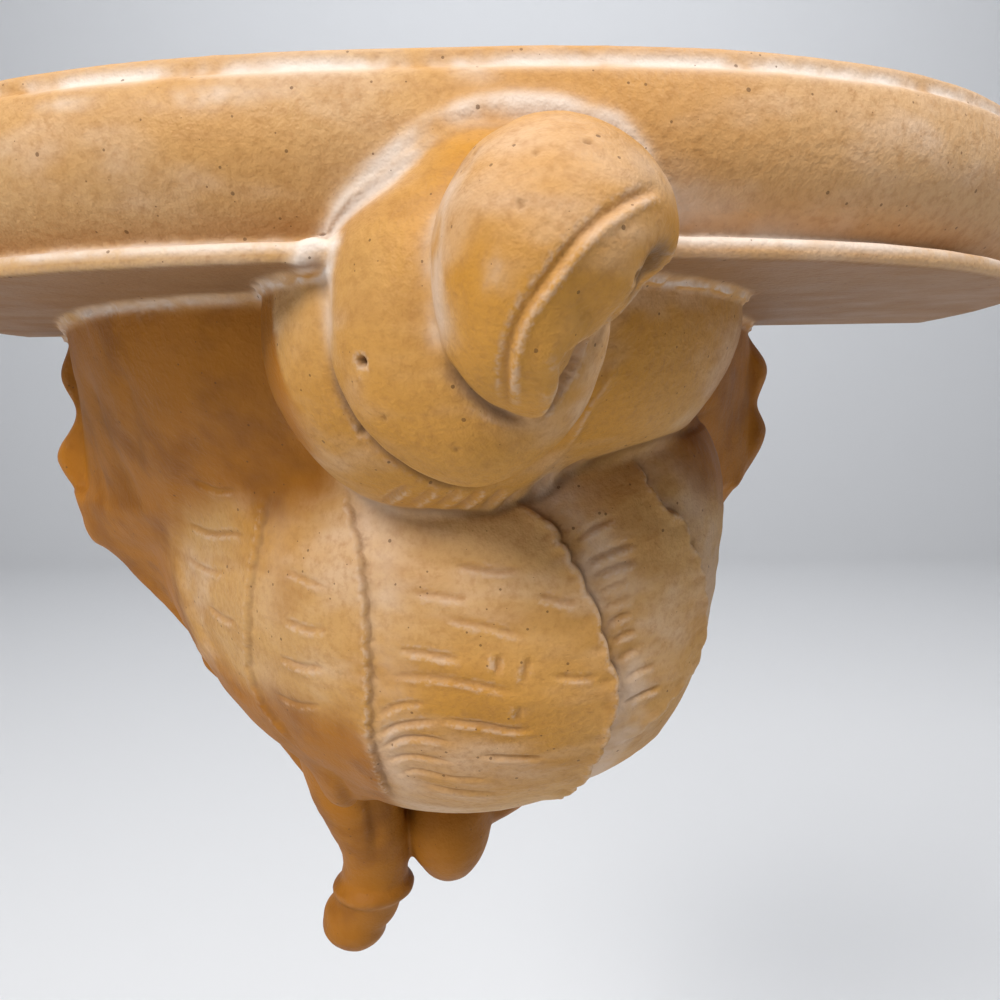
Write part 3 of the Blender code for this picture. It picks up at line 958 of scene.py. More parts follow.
@dataclass
class CrownRelief:
    """What is cut into the crown: its crease, its rolled edge, the hollow and the chipped patch.

    Attributes:
        crease: the line from the crown's right down its front.
        edge: the rolled edge of the crown's underside.
        in_front: the cuts lie only in front of this y.
        hollow: the centre of the hollow, darkened with painted shade, as x, y and height in millimetres.
        chip: the centre of the chipped patch.
        pits: casting pits as x, y, height, radius and depth in millimetres.
    """

    crease: Points = (
        (41, 5.8), (40, 5.6), (34.4, 2.4), (28.5, -2.3), (23.6, -8.2), (19.8, -13.2), (18, -17.6),
        (17.3, -22), (17.4, -27),
    )
    crease_depth: float = 0.9 * MM
    crease_width: float = 0.7 * MM
    crease_roll: float = 0.65
    crease_roll_place: float = 2.2
    crease_reach: float = 9 * MM
    edge: Points = (
        (44, -4), (38, -9.5), (34.4, -12.9), (31.4, -15.8), (28, -18), (26.4, -20), (26.6, -22),
        (25.4, -25.4), (23.5, -28.5),
    )
    edge_drop: float = 3.0 * MM
    edge_reach: float = 9 * MM
    edge_step: tuple[float, float] = (-0.7 * MM, 1.0 * MM)
    edge_roll: float = 0.45 * MM
    edge_roll_place: float = -2.0 * MM
    edge_roll_width: float = 1.5 * MM
    in_front: float = -172 * MM
    hollow: tuple[float, float, float] = (42.5, -190, -6.5)
    hollow_radius: float = 4.5 * MM
    hollow_depth: float = 4.5 * MM
    chip: tuple[float, float, float] = (25, -196, -22.5)
    chip_radius: float = 3.6 * MM
    pits: Points = (
        (-8.6, -174, -18.3, 0.95, 2.4), (-12.2, -155.2, -31.3, 1.2, 1.1), (38, -196, -7.5, 1.0, 0.9),
        (13, -191, 12, 0.7, 0.5), (20, -203, 2, 0.7, 0.5), (2, -183, -3, 0.7, 0.6),
        (14, -199, -7, 0.6, 0.5), (30, -199, 12, 0.6, 0.5), (-2, -178, 6, 0.7, 0.6),
        (-5, -171, -28, 0.8, 0.6), (8, -172, -34, 0.7, 0.6), (22, -202, 10, 0.7, 0.5),
    )

    def relief(self, places: np.ndarray, spots: np.ndarray,
               rough: np.ndarray) -> tuple[np.ndarray, np.ndarray]:
        """How far the crown is cut.

        Args:
            places: rows of (x, height).
            spots: the same places as x, y and z.
            rough: a fine unevenness for the chipped patch.

        Returns:
            A rise in metres for each place, mostly negative, and how much painted shade darkens the hollow
            and the pits.
        """
        relief = np.zeros(len(places))
        line = track(places, self.crease, self.crease_reach)
        roll = self.crease_roll * line.band(self.crease_width, self.crease_roll_place * self.crease_width)
        cut = (roll - line.band(self.crease_width)) * self.crease_depth
        relief[line.picked] += cut * line.taper(-1 * MM, 5 * MM)
        line = track(places, self.edge, 16 * MM)
        fall = np.exp(-np.maximum(line.distance, 0.0) / self.edge_reach)
        drop = smooth_step(line.distance, *self.edge_step) * fall
        roll = line.band(self.edge_roll_width, self.edge_roll_place)
        cut = self.edge_roll * roll - self.edge_drop * drop
        relief[line.picked] += cut * line.taper(-2 * MM, 4 * MM)
        relief = np.where(spots[:, 1] < self.in_front, relief, 0.0)
        hollow = np.exp(-(self.away(spots, self.hollow) / self.hollow_radius) ** 2)
        relief -= self.hollow_depth * hollow
        # painted shade in the hollow
        dark = smooth_step(hollow, 0.1, 0.5)
        chip = np.exp(-(self.away(spots, self.chip) / self.chip_radius) ** 2)
        relief += chip * (rough * 0.7 * MM - 0.5 * MM)
        for *centre, radius, depth in self.pits:
            pit = np.exp(-(self.away(spots, centre) / (radius * MM)) ** 4)
            relief -= pit * depth * MM
            # painted shade in each pit
            dark = np.maximum(dark, pit * min(1.0, depth / 0.9))
        return relief, dark

    @staticmethod
    def away(spots: np.ndarray, centre: Sequence[float]) -> np.ndarray:
        """Distances from a centre given as x, y and height in millimetres, with depth counted half."""
        gap = spots - (np.array(centre) * MM + np.array([0, 0, UNDERSIDE]))
        return np.sqrt(gap[:, 0] ** 2 + (0.5 * gap[:, 1]) ** 2 + gap[:, 2] ** 2)


@dataclass
class SpireSeams:
    """The seams between the shell's turns, and the soft folds of the wing and the tail.

    Attributes:
        undercuts: the cuts under the turns and at the shoulder's foot, darkened with painted shade.
        rim: the raised rim to the right of the second turn.
        folds: broad soft grooves.
        valleys: the shallow pale hollows where one turn of the spire meets the next.
        slip: the roll of slip that runs round the spire on the moulding.
        slip_spread: how much further the roll runs out on its upper side.
        marks: chalky marks as x, height, half-width, half-height and strength.
    """

    undercuts: tuple[Points, ...] = (
        ((5.5, -16), (8.5, -21.5), (12.5, -25.8), (17, -28.3), (22.6, -29.5)),
        ((-16.4, -12), (-16.7, -20), (-12.8, -29.4), (-6.3, -37.2), (1.7, -42.7), (10, -44.3), (18, -43)),
        ((-29, -43.7), (-24, -47), (-11, -50.8), (0.3, -51.6), (11.3, -51.8), (18.5, -49.6), (24.4, -47.8),
         (33.6, -42.4), (40.4, -39.7), (49.8, -36.9), (69, -33), (90, -26)),
    )
    undercut_depth: tuple[float, ...] = (1.3, 1.2, 0.7)
    undercut_width: float = 1.0 * MM
    rim: Points = ((12, -44.6), (18, -43), (27.4, -34.7), (32.1, -25.5), (36.4, -18.6), (36, -12))
    rim_height: float = 1.1 * MM
    rim_width: float = 1.4 * MM
    rim_place: float = -1.9 * MM
    folds: tuple[Points, ...] = (
        ((-37, -126), (-34, -140), (-32.6, -152), (-32, -173), (-34, -188)),
        ((-104, -8), (-108, -26), (-106, -44), (-98, -62)), ((-84, -12), (-88, -30), (-96, -46)),
        ((-128, -14), (-124, -30), (-126, -46), (-118, -62)),
    )
    fold_depth: tuple[float, ...] = (1.8, 2.0, 1.6, 1.6)
    fold_width: tuple[float, ...] = (2.2, 5.0, 4.0, 4.0)
    valleys: tuple[Points, ...] = (
        ((17, 14), (8.8, 8.6), (6, -1.8), (6, -12.2), (7.8, -19.4)),
        ((4, 19.6), (-6, 12.4), (-15, 7.6), (-16, 0.8), (-16.3, -9.9), (-16.7, -19.3)),
    )
    valley_depth: tuple[float, ...] = (0.8, 0.6)
    valley_width: tuple[float, ...] = (2.6, 1.7)
    slip: Points = (
        (-25, -1.9), (-20.5, 0.9), (-13.7, 9.8), (-1.7, 19.2), (6.8, 24.3), (15.3, 26.5), (25.6, 26.3),
        (35.8, 23.4), (40.9, 19.2), (46, 10.6), (48.3, 2.8),
    )
    slip_width: float = 1.7 * MM
    slip_spread: float = 1.8
    slip_reach: float = 9 * MM
    slip_fade: float = 6 * MM
    slip_front: float = -140 * MM
    valley_front: float = -120 * MM
    marks: Points = (
        (22, 35, 3.2, 0.5, 0.9), (25, 36.4, 1.6, 0.4, 0.9), (12, 34, 4, 3, 0.6), (-36, 29, 8, 2.2, 0.7),
        (-66, 30, 7, 1.6, 0.5), (48, 9, 12, 4, 0.45), (66, 6, 9, 3, 0.35), (15.8, -7.3, 1.8, 2.2, 0.45),
        (23, -2.7, 1.0, 1.0, 0.9),
    )

    def slip_roll(self, places: np.ndarray, fronts: np.ndarray) -> np.ndarray:
        """How near each place of the moulding is to the roll of slip round the spire.

        Args:
            places: rows of (x, height).
            fronts: each place's y.

        Returns:
            A share from 0 to 1 for each place.
        """
        line = track(places, self.slip, self.slip_reach)
        spread = np.where(line.distance > 0, self.slip_width, self.slip_spread * self.slip_width)
        roll = np.zeros(len(places))
        roll[line.picked] = line.band(spread) * line.taper(0.0, self.slip_fade)
        return np.where(fronts < self.slip_front, roll, 0.0)

    def relief(self, places: np.ndarray, fronts: np.ndarray) -> tuple[np.ndarray, ...]:
        """How far the seams cut or raise the shell.

        Args:
            places: rows of (x, height).
            fronts: each place's y.

        Returns:
            A rise in metres for each place, how much painted shade darkens the cuts, and how pale the
            valleys are.
        """
        relief = np.zeros(len(places))
        dark = np.zeros(len(places))
        pale = np.zeros(len(places))
        for points, depth in zip(self.undercuts, self.undercut_depth):
            line = track(places, points, 6 * MM)
            cut = line.band(self.undercut_width) * line.taper(0.0, 0.3 * line.length)
            relief[line.picked] -= depth * MM * cut
            # painted shade along the undercut
            dark[line.picked] = np.maximum(dark[line.picked], cut * min(1.0, depth))
        line = track(places, self.rim, 8 * MM)
        raised = line.band(self.rim_width, self.rim_place) * line.taper(0.0, 0.25 * line.length)
        relief[line.picked] += raised * self.rim_height
        relief = np.where(fronts > CrownRelief.in_front, relief, np.minimum(relief, 0.0))
        for points, depth, width in zip(self.valleys, self.valley_depth, self.valley_width):
            line = track(places, points, 3 * width * MM)
            hollow = line.band(width * MM) * line.taper(0.0, 0.2 * line.length)
            relief[line.picked] -= depth * MM * hollow
            pale[line.picked] = np.maximum(pale[line.picked], hollow)
        for points, depth, width in zip(self.folds, self.fold_depth, self.fold_width):
            line = track(places, points, 3 * width * MM)
            groove = line.band(width * MM) * line.taper(0.0, 0.3 * line.length)
            relief[line.picked] -= groove * depth * MM
        return relief, dark, np.where(fronts < self.valley_front, pale, 0.0)


@dataclass
class Casting:
    """The whole piece: shelf and shell fused into one plaster skin, carved and thinned out.

    Attributes:
        seam_reach: passes by which the meeting of shell and shelf is spread into a band.
        seam_passes: passes that fill its corners with slip.
        suture_passes: passes that soften the sutures between the shell's turns.
        flank_passes: passes that run the belly out into the left wing.
        slip_rise: how proud the slip stands.
        slip_lumps: how lumpy it is under the shelf.
        fold_rise: the height of the faint level folds on the belly.
        hand_swell: the broad unevenness of a thing made by hand.
        hand_grain: the small one.
        amber_depth: how far from the wall the deep stain starts and ends, at the top, in millimetres.
        amber_draw: how much nearer to the wall both are on the lower shell.
    """

    shelf: MouldedShelf = field(default_factory=MouldedShelf)
    spire: Spire = field(default_factory=Spire)
    body: WhelkBody = field(default_factory=WhelkBody)
    tail: Tail = field(default_factory=Tail)
    plates: Plates = field(default_factory=Plates)
    strokes: Strokes = field(default_factory=Strokes)
    crown: CrownRelief = field(default_factory=CrownRelief)
    seams: SpireSeams = field(default_factory=SpireSeams)
    seam_reach: int = 28
    seam_passes: int = 58
    suture_passes: int = 15
    flank_passes: int = 200
    slip_rise: float = 0.9 * MM
    slip_lumps: float = 1.3 * MM
    fold_rise: float = 0.35 * MM
    hand_swell: float = 0.40 * MM
    hand_grain: float = 0.14 * MM
    amber_depth: tuple[float, float] = (65, 140)
    amber_draw: tuple[float, float] = (45, 60)
    quick_cell: float = 1.7

    def fused(self) -> bpy.types.Object:
        """Makes the shelf and all of the shell's forms, and fuses them.

        Returns:
            One even skin.
        """
        forms = [self.shelf.build()]
        forms += [pebble.build() for pebble in self.spire.pebbles() + self.body.pebbles()]
        forms += self.tail.build()
        clear_selection()
        for form in forms:
            form.select_set(True)
        bpy.context.view_layer.objects.active = forms[0]
        bpy.ops.object.join()
        skin = bpy.context.object
        skin.name = "shell_shelf_casting"
        fuse = skin.modifiers.new("fuse", "REMESH")
        fuse.mode = "VOXEL"
        fuse.voxel_size = SKIN_CELL * 1.0
        bpy.ops.object.modifier_apply(modifier=fuse.name)
        LOG.info("fused skin: %d vertices", len(skin.data.vertices))
        return skin

    def on_shell(self, skin: Skin) -> np.ndarray:
        """Tells the shell from the shelf.

        Args:
            skin: the fused skin.

        Returns:
            1 for each vertex of the shell and 0 for each of the shelf.
        """
        heights = skin.places[:, 2]
        profile = np.array(self.shelf.profile())
        drops = SHELF_TOP - heights
        inset = np.interp(drops, profile[:, 1], profile[:, 0])
        proud = self.shelf.outside(skin.places) > 1.5 * MM - inset
        return np.where((heights < UNDERSIDE - 0.6 * MM) | proud, 1.0, 0.0)

    def flank(self, skin: Skin) -> np.ndarray:
        """Where the belly runs out into the left wing and up into the shoulder without a crease.

        Args:
            skin: the fused skin.

        Returns:
            A share from 0 to 1 for each vertex.
        """
        left = -skin.places[:, 0] / MM
        down = -skin.front_places()[:, 1] / MM
        depth = -skin.places[:, 1] / MM
        wing = smooth_step(left, 50, 70) * smooth_step(down, 2, 12) * (1 - smooth_step(down, 112, 134))
        neck = smooth_step(left, 26, 38) * smooth_step(down, 20, 32) * (1 - smooth_step(down, 66, 82))
        root = smooth_step(left, 22, 30) * smooth_step(down, 98, 110) * (1 - smooth_step(down, 152, 166))
        return np.maximum(np.maximum(wing, neck), root) * smooth_step(depth, 9, 22)

    def soften(self, skin: Skin) -> np.ndarray:
        """Rounds the skin, and fills the corners where shell and shelf meet with a slip fillet.

        Args:
            skin: the fused skin.

        Returns:
            How near each vertex is to the slip, from 0 to 1.
        """
        skin.relax(3)
        shell = self.on_shell(skin)
        spread = skin.averaged(shell, self.seam_reach)
        seam = np.clip(5.0 * spread * (1 - spread), 0.0, 1.0) ** 2
        hollow = smooth_step(skin.hollowness(6), -0.02 * MM, 0.05 * MM)
        seam = skin.averaged(seam * hollow, 4)
        skin.relax(self.seam_passes, np.clip(1.6 * seam, 0.0, 1.0))
        skin.relax(self.flank_passes, self.flank(skin))
        suture = smooth_step(skin.hollowness(5), 0.02 * MM, 0.08 * MM) * shell
        skin.relax(self.suture_passes, skin.averaged(suture, 5))
        tail = smooth_step(-skin.front_places()[:, 1], 150 * MM, 165 * MM)
        skin.relax(self.suture_passes, tail)
        skin.refresh()
        return seam

    def carve(self, skin: Skin, seam: np.ndarray) -> tuple[np.ndarray, ...]:
        """Works the plates, strokes, crown and the hand-made unevenness into the skin.

        Args:
            skin: the softened skin.
            seam: how near each vertex is to the slip.

        Returns:
            How much painted shade darkens the cuts, pits and plate edges, how pale with residue, and how
            much slip there is.
        """
        places = skin.front_places()
        shell = skin.averaged(self.on_shell(skin), 4)
        wander = cloudy(skin.places, 13 * MM, 3.0)
        swell = cloudy(skin.places, 24 * MM, 11.0)
        grain = cloudy(skin.places, 4.5 * MM, 23.0)
        folds = cloudy(skin.places * np.array([0.22, 0.22, 1.0]), 5.5 * MM, 41.0)
        facing = smooth_step(-skin.normals[:, 1], 0.02, 0.25)
        behind = np.where(skin.places[:, 1] > self.strokes.behind, 1.0, 0.0)
        # under is the painted shadow beside the plates' raised edges
        plates, under, valleys = self.plates.relief(places, wander)
        crown, cuts = self.crown.relief(places, skin.places, grain)
        seams, lines, pale = self.seams.relief(places, skin.places[:, 1])
        roll = self.seams.slip_roll(places, skin.places[:, 1]) * (1 - shell)
        belly = smooth_step(-places[:, 1], 46 * MM, 58 * MM) * behind
        relief = (plates * behind + self.strokes.relief(places, skin.places[:, 1])) * facing * shell
        relief = relief + (crown + seams) * shell + belly * self.fold_rise * folds
        relief = relief + shell * (self.hand_swell * swell + self.hand_grain * grain)
        relief = relief + (1 - shell) * (0.25 * self.hand_swell * wander + 0.3 * self.hand_grain * grain)
        lumps = seam * smooth_step(-places[:, 1], -4 * MM, 2 * MM)
        relief = relief + seam * self.slip_rise * (0.6 + 0.4 * wander) + lumps * self.slip_lumps * grain
        relief = relief + roll * self.slip_rise * (0.8 + 0.3 * grain)
        at_wall = smooth_step(-skin.places[:, 1], 0.0, 3 * MM)
        skin.lift(relief * at_wall)
        skin.relax(1, 0.5)
        skin.places = drawn_in(skin.places)
        skin.refresh()
        # painted shade: shadows beside the plate edges, the undercuts, and the crown's hollow and pits
        recess_shade = np.maximum(np.maximum(under * behind * facing, lines) * shell, cuts)
        return recess_shade, np.maximum(pale, valleys * behind * facing) * shell, roll

    def masks(self, skin: Skin, seam: np.ndarray, recess_shade: np.ndarray, pale: np.ndarray,
              roll: np.ndarray) -> dict[Mask, np.ndarray]:
        """Measures where residue, wear and stain settle, and where shade and highlight are painted.

        Args:
            skin: the carved skin.
            seam: how near each vertex is to the slip.
            recess_shade: how much painted shade darkens the cuts, pits and the strips beside raised edges.
            pale: how pale the valleys are.
            roll: how much slip lies on the moulding.

        Returns:
            A share from 0 to 1 for each vertex and mask.
        """
        fine = skin.hollowness(3) / MM
        broad = skin.hollowness(40) / MM
        shell = skin.averaged(self.on_shell(skin), 12)
        across, down = (skin.front_places() * (1, -1) / MM).T
        depth = -skin.places[:, 1] / MM
        drop = (SHELF_TOP - skin.places[:, 2]) / MM
        edge = 1 - shell
        lower = smooth_step(down, 40, 75)
        near, far = (full - draw * lower for full, draw in zip(self.amber_depth, self.amber_draw))
        reach = 1 - smooth_step(depth, near, far)
        neck = smooth_step(-across, 16, 38) * (1 - smooth_step(down, 36, 66)) * (depth < 150)
        foot = smooth_step(down, 90, 122) * smooth_step(-across, 12, 26)
        amber = smooth_step(down, -2, 8) * np.maximum(np.maximum(reach, 0.95 * neck), 0.9 * foot)
        chalk = edge * np.exp(-((drop - 3.4) / 1.6) ** 2)
        lip = edge * smooth_step(drop, 31.8, 33.2) * (1 - smooth_step(drop, 34.6, 36.4))
        slip = seam * smooth_step(skin.normals[:, 2], -0.75, -0.45)
        for x, height, width, tall, share in self.seams.marks:
            spot = ((across - x) / width) ** 2 + ((-down - height) / tall) ** 2
            chalk = np.maximum(chalk, share * np.exp(-spot) * (depth > 120))
        # painted shade on the shelf's underside
        under = smooth_step(-skin.normals[:, 2], 0.7, 0.95) * smooth_step(drop, 36.8, 37.8) * edge
        spire = shell * smooth_step(depth, 110, 140)
        left_slip = seam * smooth_step(down, -4, 0) * smooth_step(-across, 20, 35)
        slip = np.maximum(np.maximum(slip, roll), 0.6 * left_slip)
        settled = skin.averaged(smooth_step(broad, 0.15, 0.9), 2) + 0.8 * slip + 0.9 * pale
        return {
            Mask.CREVICE: np.clip(settled, 0, 1),
            Mask.DUST: spire * smooth_step(skin.normals[:, 2], -0.15, 0.75),
            # the shelf is paler all over and paler still towards its right end
            Mask.FADED: edge * (0.35 + 0.45 * smooth_step(across, 20, 110)),
            # painted shade: a deeper honey tone on the spire's faces that look down
            Mask.GOLD: spire * smooth_step(-skin.normals[:, 2], -0.25, 0.55),
            # painted shade in the fine hollows
            Mask.LINE: smooth_step(fine, 0.03, 0.13),
            # partly wear and deposit, partly a painted highlight on the ridges and the lip
            Mask.RIDGE: np.clip(smooth_step(-fine, 0.035, 0.13) + lip, 0, 1),
            # painted shade in the cuts and pits and beside raised edges
            Mask.GRIME: np.clip(recess_shade, 0, 1),
            Mask.AMBER: np.clip(skin.averaged(amber, 10), 0, 1),
            Mask.CHALK: np.clip(chalk + 0.7 * lip + 0.75 * slip + 0.25 * pale, 0, 1),
            Mask.SHADE: np.clip(under, 0, 1),
            Mask.BARE: smooth_step(skin.normals[:, 1], 0.7, 0.95),
        }

    def cut_back(self, piece: bpy.types.Object) -> None:
        """Cuts the back flat at the wall.

        Args:
            piece: the fused skin.
        """
        select_only(piece)
        bpy.ops.object.mode_set(mode="EDIT")
        bpy.ops.mesh.select_all(action="SELECT")
        bpy.ops.mesh.bisect(plane_co=(0, 0, 0), plane_no=(0, 1, 0), use_fill=True, clear_outer=True)
        bpy.ops.mesh.select_all(action="SELECT")
        bpy.ops.mesh.quads_convert_to_tris(ngon_method="BEAUTY")
        bpy.ops.mesh.normals_make_consistent(inside=False)
        bpy.ops.object.mode_set(mode="OBJECT")

    def thin_out(self, piece: bpy.types.Object) -> None:
        """Leaves faces where the carving needs them, none outside the solid's box.

        Args:
            piece: the carved skin, all triangles.
        """
        wanted = TRIANGLES_FINE
        thin = piece.modifiers.new("thin_out", "DECIMATE")
        thin.ratio = min(1.0, wanted / len(piece.data.polygons))
        select_only(piece)
        bpy.ops.object.modifier_apply(modifier=thin.name)
        low, high = (np.array(corner) for corner in CAD_BOX)
        place_vertices(piece.data, np.clip(vertex_places(piece.data), low, high))

    def paint_masks(self, piece: bpy.types.Object, skin_places: np.ndarray,
                    masks: dict[Mask, np.ndarray]) -> None:
        """Carries the masks over to the thinned piece.

        Args:
            piece: the finished piece.
            skin_places: the places where the masks were measured.
            masks: the masks.
        """
        tree = KDTree(len(skin_places))
        for index, place in enumerate(skin_places.tolist()):
            tree.insert(place, index)
        tree.balance()
        nearest = np.array([tree.find(vertex.co)[1] for vertex in piece.data.vertices])
        for mask, values in masks.items():
            layer = piece.data.attributes.new(mask.value, "FLOAT", "POINT")
            layer.data.foreach_set("value", values[nearest].astype(np.float32))

    def build(self) -> bpy.types.Object:
        """Makes the casting from its forms to its finished skin.

        Returns:
            The finished piece, without its material.
        """
        piece = self.fused()
        skin = Skin(piece.data)
        seam = self.soften(skin)
        masks = self.masks(skin, seam, *self.carve(skin, seam))
        places = skin.places.copy()
        self.cut_back(piece)
        self.thin_out(piece)
        self.paint_masks(piece, places, masks)
        select_only(piece)
        bpy.ops.object.shade_smooth()
        LOG.info("%s: %d triangles", piece.name, len(piece.data.polygons))
        return piece


@dataclass(frozen=True)
class PlasterColours:
    """The stained plaster's colours, linear, with the tones of its painted shade."""

    ochre: tuple[float, float, float] = (0.53, 0.310, 0.118)
    honey: tuple[float, float, float] = (0.50, 0.236, 0.036)
    umber: tuple[float, float, float] = (0.33, 0.150, 0.040)
    amber: tuple[float, float, float] = (0.35, 0.128, 0.008)
    amber_dark: tuple[float, float, float] = (0.17, 0.055, 0.006)
    residue: tuple[float, float, float] = (0.66, 0.49, 0.36)
    chalk: tuple[float, float, float] = (0.76, 0.70, 0.65)
    # painted shade for the cuts, pits and pinholes
    recess_shade: tuple[float, float, float] = (0.085, 0.040, 0.016)
    # painted shade of the shelf's underside
    under: tuple[float, float, float] = (0.18, 0.085, 0.035)
    bare: tuple[float, float, float] = (0.62, 0.50, 0.38)


class NodeBench:
    """Lays out shader nodes in a tree and joins them."""

    def __init__(self, tree: bpy.types.NodeTree) -> None:
        """Keeps the tree.

        Args:
            tree: a material's or a group's node tree.
        """
        self.tree = tree

    def add(self, kind: str, **settings: object) -> bpy.types.Node:
        """A new node.

        Args:
            kind: the node's type.
            **settings: its properties.

        Returns:
            The node.
        """
        node = self.tree.nodes.new(kind)
        for name, value in settings.items():
            setattr(node, name, value)
        return node

    def join(self, output: bpy.types.NodeSocket, target: bpy.types.NodeSocket) -> None:
        """Links one socket to another."""
        self.tree.links.new(output, target)

    def feed(self, socket: bpy.types.NodeSocket, value: object) -> None:
        """Links a socket, or sets its value.

        Args:
            socket: the input.
            value: another node's output, a number or a colour.
        """
        if isinstance(value, bpy.types.NodeSocket):
            self.join(value, socket)
        elif isinstance(value, tuple) and len(value) == 3 and socket.type == "RGBA":
            socket.default_value = (*value, 1.0)
        else:
            socket.default_value = value

    def maths(self, operation: str, first: object, second: object = 0.0,
              third: object = 0.0) -> bpy.types.NodeSocket:
        """A Math node.

        Args:
            operation: what it does.
            first: its first value, a number or a socket.
            second: its second value.
            third: its third value.

        Returns:
            The result's socket.
        """
        node = self.add("ShaderNodeMath", operation=operation)
        self.feed(node.inputs[0], first)
        self.feed(node.inputs[1], second)
        self.feed(node.inputs[2], third)
        return node.outputs[0]

    def mix(self, share: object, first: object, second: object) -> bpy.types.NodeSocket:
        """Two colours mixed.

        Args:
            share: how much of the second colour there is.
            first: the first colour.
            second: the second colour.

        Returns:
            The mixed colour's socket.
        """
        node = self.add("ShaderNodeMix", data_type="RGBA")
        self.feed(node.inputs[0], share)
        self.feed(node.inputs[6], first)
        self.feed(node.inputs[7], second)
        return node.outputs[2]

    def steps(self, value: object, low: float, high: float) -> bpy.types.NodeSocket:
        """A soft step.

        Args:
            value: what is compared.
            low: where the step is still 0.
            high: where it has reached 1.

        Returns:
            The step's socket.
        """
        node = self.add("ShaderNodeMapRange", interpolation_type="SMOOTHSTEP")
        self.feed(node.inputs["Value"], value)
        node.inputs["From Min"].default_value = low
        node.inputs["From Max"].default_value = high
        return node.outputs["Result"]

    def coat(self, colour: object, tone: object, mask: object, share: float) -> bpy.types.NodeSocket:
        """A colour with a tone laid over it where a mask says, by a share at most."""
        return self.mix(self.maths("MULTIPLY", mask, share), colour, tone)

    def mask(self, mask: Mask) -> bpy.types.NodeSocket:
        """A painted mask of the casting."""
        return self.add("ShaderNodeAttribute", attribute_name=mask.value).outputs["Fac"]

    def speckle(self, place: object, scale: float, detail: float, stretch: tuple[float, float, float],
                roughness: float = 0.55) -> bpy.types.NodeSocket:
        """Noise on Object coordinates.

        Args:
            place: the coordinates' socket.
            scale: swellings per metre.
            detail: how many finer layers it has.
            stretch: the scale along each axis.
            roughness: how strong the finer layers are.

        Returns:
            The noise's value socket.
        """
        mapping = self.add("ShaderNodeMapping")
        mapping.inputs["Scale"].default_value = stretch
        self.feed(mapping.inputs["Vector"], place)
        cloud = self.add("ShaderNodeTexNoise")
        cloud.inputs["Scale"].default_value = scale
        cloud.inputs["Detail"].default_value = detail
        cloud.inputs["Roughness"].default_value = roughness
        self.join(mapping.outputs[0], cloud.inputs["Vector"])
        return cloud.outputs["Fac"]


class PinholeGroup:
    """A node group of small round pinholes, with how wide they are and how many there are as inputs."""

    def __init__(self) -> None:
        """Builds the group once."""
        group = bpy.data.node_groups.new("pinholes", "ShaderNodeTree")
        group.interface.new_socket("Vector", in_out="INPUT", socket_type="NodeSocketVector")
        group.interface.new_socket("Scale", in_out="INPUT", socket_type="NodeSocketFloat")
        group.interface.new_socket("Share", in_out="INPUT", socket_type="NodeSocketFloat")
        group.interface.new_socket("Mask", in_out="OUTPUT", socket_type="NodeSocketFloat")
        bench = NodeBench(group)
        inputs = bench.add("NodeGroupInput")
        outputs = bench.add("NodeGroupOutput")
        cells = bench.add("ShaderNodeTexVoronoi")
        bench.join(inputs.outputs["Vector"], cells.inputs["Vector"])
        bench.join(inputs.outputs["Scale"], cells.inputs["Scale"])
        chosen = bench.add("ShaderNodeSeparateColor")
        bench.join(cells.outputs["Color"], chosen.inputs[0])
        width = bench.maths("MULTIPLY_ADD", bench.maths("POWER", chosen.outputs[1], 3.0), 0.24, 0.06)
        hole = bench.maths("LESS_THAN", cells.outputs["Distance"], width)
        some = bench.maths("LESS_THAN", chosen.outputs[0], inputs.outputs["Share"])
        bench.join(bench.maths("MULTIPLY", hole, some), outputs.inputs["Mask"])
        self.group = group

    def place(self, bench: NodeBench, vector: object, scale: float, share: float) -> bpy.types.NodeSocket:
        """Puts the group in a material.

        Args:
            bench: the material's bench.
            vector: the coordinates' socket.
            scale: cells per metre.
            share: the share of cells that hold a pinhole.

        Returns:
            A mask that is 1 in a pinhole.
        """
        node = bench.add("ShaderNodeGroup", node_tree=self.group)
        bench.feed(node.inputs["Vector"], vector)
        node.inputs["Scale"].default_value = scale
        node.inputs["Share"].default_value = share
        return node.outputs["Mask"]


